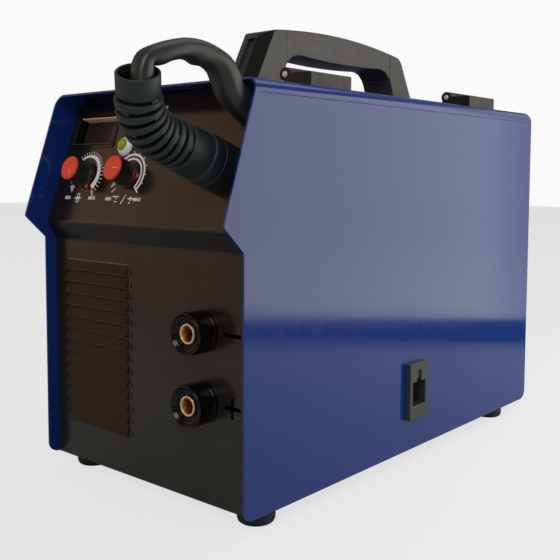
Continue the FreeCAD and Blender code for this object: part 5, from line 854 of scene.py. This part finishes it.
# Hinges: pressed and welded steel, black coated, two on the hood. The fixed leaf has
# the middle knuckle, the thick leaf on the door the outer two, on a riveted pin.
def softened(name, shown, material, edge):
    """A merged copy of a CAD piece with its edges broken, as moulding or deburring
    leaves them. It stands for that piece."""
    made_piece(merged(name), shown, material, (name,), edge=edge)


hinge_black = finish_of("satin_black_hinge", (0.014, 0.013, 0.012), 0.36, Specular_IOR_Level=0.3)
mottle(hinge_black, 6, 0.32, 0.45, socket="Roughness")
relief(hinge_black, 0.9, 0.02)
softened("hinge_fixed_leaves", "hinge_plates", hinge_black, 0.5)
softened("hinge_door_leaves", "hinge_blocks", hinge_black, 0.9)
bright_zinc = finish_of("bright_zinc", (0.75, 0.76, 0.78), 0.5, 0.5)
mottle(bright_zinc, 1, 0.4, 0.6, socket="Roughness")
HINGE_ACROSS, HINGE_HEIGHT, HINGE_LENGTH = 76, 322, 50
bm = bmesh.new()
for middle in (-109.0, 131.5):
    end = Matrix.Translation((HINGE_ACROSS, middle - HINGE_LENGTH / 2, HINGE_HEIGHT))
    turned(bm, [(0.0, -0.7), (1.4, -0.7), (2.3, -0.3), (2.4, 0.2), (2.4, 49.8), (2.3, 50.3),
                (1.4, 50.7), (0.0, 50.7)], end @ Matrix.Rotation(math.radians(-90), 4, "X"), 32)
made_piece(bm, "hinge_rivets", bright_zinc, ("hinge_pins",))


# Slide latch: a moulded pull set in the door, with a finger recess and a thumb slide
# whose hook goes behind a sheet keeper on the tray.
latch_black = finish_of("satin_black_latch", (0.034, 0.038, 0.036), 0.38)
mottle(latch_black, 4, 0.33, 0.46, socket="Roughness")
relief(latch_black, 0.5, 0.015)
softened("latch_housing", "latch_pull", latch_black, 0.5)
softened("latch_slide", "latch_thumb_slide", latch_black, 0.35)
galvanised = finish_of("galvanised_sheet", (0.42, 0.43, 0.45), 0.38, 0.9)
mottle(galvanised, 9, (0.36, 0.37, 0.39), (0.50, 0.51, 0.53))
mottle(galvanised, 7, 0.3, 0.5, socket="Roughness")
dress(galvanised, "latch_keeper", "partition")


# Back: a cooling fan behind a wire guard, the mains rocker, a cord gland, a brass gas
# tail and an earth stud, all on a black coated sheet.
fan_black = finish_of("black_fan_moulding", (0.014, 0.014, 0.015), 0.42)
mottle(fan_black, 5, 0.36, 0.5, socket="Roughness")
relief(fan_black, 0.6, 0.015)
dress(fan_black, "fan_frame", "fan_rotor", "mains_gland", "switch_housing")
rocker_red = finish_of("red_rocker", (0.50, 0.02, 0.012), 0.25)
mottle(rocker_red, 6, 0.2, 0.32, socket="Roughness")
dress(rocker_red, "switch_rocker")
dress(brass, "gas_inlet")


# Wire bay: a moulded reel of copper plated wire on its hub, and a feeder that pinches
# the wire between a driven roll and a sprung one, set in line with the sleeve.
reel_black = finish_of("black_reel_moulding", (0.022, 0.022, 0.024), 0.45)
mottle(reel_black, 6, 0.4, 0.55, socket="Roughness")
relief(reel_black, 0.8, 0.02)
dress(reel_black, "spool_reel", "spool_hub", "tension_knob")
copper_wire = finish_of("copper_plated_wire", (0.70, 0.36, 0.20), 0.25, 1.0)
mottle(copper_wire, 4, (0.62, 0.30, 0.16), (0.78, 0.42, 0.25))
# The outer layer shows its turns, with a groove between each two.
TURNS, TURN_WIDTH, CORE_RADIUS, ROOT_RADIUS, WIRE_RADIUS = 40, 1.25, 28.0, 69.3, 69.9
coil = [(CORE_RADIUS, 0.0), (ROOT_RADIUS, 0.0)]
for number in range(TURNS):
    start = TURN_WIDTH * number
    coil += [(ROOT_RADIUS, start + 0.04), (WIRE_RADIUS, start + 0.38), (WIRE_RADIUS, start + 0.87),
             (ROOT_RADIUS, start + 1.21)]
coil += [(ROOT_RADIUS, TURNS * TURN_WIDTH), (CORE_RADIUS, TURNS * TURN_WIDTH)]
reel_axis = Matrix.Translation((28, 68, 168)) @ Matrix.Rotation(math.radians(90), 4, "Y")
bm = bmesh.new()
turned(bm, coil, reel_axis, 96, True)
made_piece(bm, "wound_wire", copper_wire, ("welding_wire",), limit=60)
aluminium = finish_of("milled_aluminium", (0.62, 0.63, 0.65), 0.34, 1.0)
mottle(aluminium, 3, 0.28, 0.45, stretch=(6.0, 0.6, 0.6), socket="Roughness")
relief(aluminium, 0.8, 0.01, stretch=(6.0, 0.5, 0.5))
dress(aluminium, "feeder_plate", "pressure_arm", "heatsink")
tool_steel = finish_of("ground_steel", (0.50, 0.50, 0.52), 0.22, 1.0)
mottle(tool_steel, 2, 0.16, 0.3, socket="Roughness")
dress(tool_steel, "drive_roll", "pressure_roll", "feed_motor")


# Power electronics behind the partition: green laminate boards, sleeved cans, a
# ferrite transformer and a wound output choke.
laminate = finish_of("green_laminate", (0.012, 0.10, 0.035), 0.35)
mottle(laminate, 4, (0.010, 0.085, 0.03), (0.016, 0.12, 0.042))
dress(laminate, "circuit_boards")
can = finish_of("sleeved_can", (0.012, 0.014, 0.03), 0.3)
mottle(can, 5, 0.25, 0.38, socket="Roughness")
dress(can, "capacitors")
ferrite = finish_of("ferrite_core", (0.03, 0.03, 0.032), 0.6)
relief(ferrite, 1.0, 0.03)
dress(ferrite, "transformer")
winding = finish_of("enamelled_winding", (0.55, 0.20, 0.07), 0.3, 0.9)
relief(winding, 1.2, 0.15, stretch=(0.3, 4.0, 4.0))
dress(winding, "output_choke")


# Studio: a pale floor and a white surround, a soft panel on a dark foot to the right,
# which the door mirrors, two weak warm ones to the left, which the front mirrors, a key
# light and a broad one above. The camera stands where the photograph's did.
bpy.context.scene.view_settings.view_transform = "Standard"
world = bpy.data.worlds.new("white_surround")
world.use_nodes = True
tree = world.node_tree
seen = tree.nodes.new("ShaderNodeLightPath")
dim = tree.nodes["Background"]
dim.inputs["Color"].default_value = (1.0, 0.95, 0.90, 1.0)
dim.inputs["Strength"].default_value = 0.18
pale = tree.nodes.new("ShaderNodeBackground")
pale.inputs["Color"].default_value = (1.0, 1.0, 1.0, 1.0)
pale.inputs["Strength"].default_value = 0.95
either = tree.nodes.new("ShaderNodeMixShader")
tree.links.new(seen.outputs["Is Camera Ray"], either.inputs["Fac"])
tree.links.new(dim.outputs["Background"], either.inputs[1])
tree.links.new(pale.outputs["Background"], either.inputs[2])
tree.links.new(either.outputs["Shader"], tree.nodes["World Output"].inputs["Surface"])
bpy.context.scene.world = world


def staged(bm, name, made):
    """A piece of the studio, which isn't part of the welder."""
    mesh = bpy.data.meshes.new(name)
    bm.to_mesh(mesh)
    bm.free()
    mesh.materials.append(made)
    thing = bpy.data.objects.new(name, mesh)
    bpy.context.scene.collection.objects.link(thing)
    thing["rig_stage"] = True
    return thing


def soft_panel(name, spot, target, width, height, colour, levels):
    """A soft panel of a size in metres, facing its target. Its radiance is given by
    levels at shares of its width, so that it can weaken to one side."""
    lamp = bpy.data.lights.new(name, "AREA")
    lamp.shape = "RECTANGLE"
    lamp.size = width
    lamp.size_y = height
    peak = max(level for share, level in levels)
    lamp.energy = peak * math.pi * width * height
    lamp.color = colour
    if len(levels) > 1:
        lamp.use_nodes = True
        lights = lamp.node_tree
        across = lights.nodes.new("ShaderNodeNewGeometry")
        parts = lights.nodes.new("ShaderNodeSeparateXYZ")
        ramp = lights.nodes.new("ShaderNodeValToRGB")
        while len(ramp.color_ramp.elements) < len(levels):
            ramp.color_ramp.elements.new(0.5)
        for element, (share, level) in zip(ramp.color_ramp.elements, levels):
            element.position = share
            element.color = (level / peak, level / peak, level / peak, 1.0)
        lights.links.new(across.outputs["Parametric"], parts.inputs["Vector"])
        lights.links.new(parts.outputs["X"], ramp.inputs["Fac"])
        lights.links.new(ramp.outputs["Color"], lights.nodes["Emission"].inputs["Strength"])
    light = bpy.data.objects.new(name, lamp)
    light.location = spot
    light.rotation_euler = (Vector(target) - Vector(spot)).to_track_quat("-Z", "Y").to_euler()
    light.visible_camera = False
    bpy.context.scene.collection.objects.link(light)


# The floor is mostly an even glow to the camera, and plain to everything else.
pale_floor = finish_of("pale_floor", (0.62, 0.62, 0.62), 0.8)
tree = pale_floor.node_tree
glow = tree.nodes.new("ShaderNodeEmission")
glow.inputs["Strength"].default_value = 0.95
share = tree.nodes.new("ShaderNodeMath")
share.operation = "MULTIPLY"
share.inputs[1].default_value = 0.75
both = tree.nodes.new("ShaderNodeMixShader")
tree.links.new(tree.nodes.new("ShaderNodeLightPath").outputs["Is Camera Ray"], share.inputs[0])
tree.links.new(share.outputs["Value"], both.inputs["Fac"])
tree.links.new(tree.nodes["Principled BSDF"].outputs["BSDF"], both.inputs[1])
tree.links.new(glow.outputs["Emission"], both.inputs[2])
tree.links.new(both.outputs["Shader"], tree.nodes["Material Output"].inputs["Surface"])
bm = bmesh.new()
bmesh.ops.create_grid(bm, x_segments=1, y_segments=1, size=6.0)
staged(bm, "floor", pale_floor)
toward_door = Vector((-0.6508, -0.7593, 0.0))
panel_base = Vector((0.430, 0.418, 0.0))
panel_middle = panel_base + Vector((0, 0, 0.33))
soft_panel("door_panel", panel_middle, panel_middle + toward_door, 1.0, 0.59, (1.0, 0.94, 0.84),
           [(0.32, 2.2), (0.65, 1.6), (0.70, 0.9), (0.74, 0.6), (1.0, 0.6)])
bm = bmesh.new()
along = Matrix.Translation(panel_base) @ Matrix.Rotation(math.radians(139.4), 4, "Z")
block(bm, (-0.6, -0.004, 0.001), (0.6, 0.004, 0.034), along)
foot_card = staged(bm, "panel_foot", finish_of("black_card", (0.01, 0.01, 0.01), 0.9))
foot_card.visible_camera = False
for name, spot, target, width, height, colour, level in (
        ("warm_fill", (-1.7, -1.35, 0.95), (0.0, -0.2, 0.25), 1.8, 1.3, (1.0, 0.55, 0.26), 0.5),
        ("low_warm_fill", (-1.9, -1.7, 0.20), (0.0, -0.2, 0.20), 1.9, 0.24, (1.0, 0.60, 0.36), 1.2),
        ("overhead", (0.3, 0.6, 2.2), (-0.1, 0.0, 0.0), 2.2, 2.2, (1.0, 1.0, 1.0), 0.9),
        ("key", (0.9, -1.7, 1.5), (0.0, 0.0, 0.15), 1.0, 1.0, (1.0, 0.99, 0.97), 5.0)):
    soft_panel(name, spot, target, width, height, colour, [(0.0, level)])

lens = bpy.data.cameras.new("camera")
lens.lens = 54.10
lens.sensor_width = 36.0
lens.shift_y = -0.0726
lens.clip_start = 0.01
camera = bpy.data.objects.new("camera", lens)
camera.location = (0.48813, -0.61979, 0.24676)
camera.rotation_mode = "QUATERNION"
heading = Matrix.Rotation(math.radians(40.6), 3, "Z")
tilt = Matrix.Rotation(math.radians(85.63), 3, "X")
roll = Matrix.Rotation(math.radians(0.23), 3, "Z")
camera.rotation_quaternion = (heading @ tilt @ roll).to_quaternion()
bpy.context.scene.collection.objects.link(camera)
bpy.context.scene.camera = camera

low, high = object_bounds()
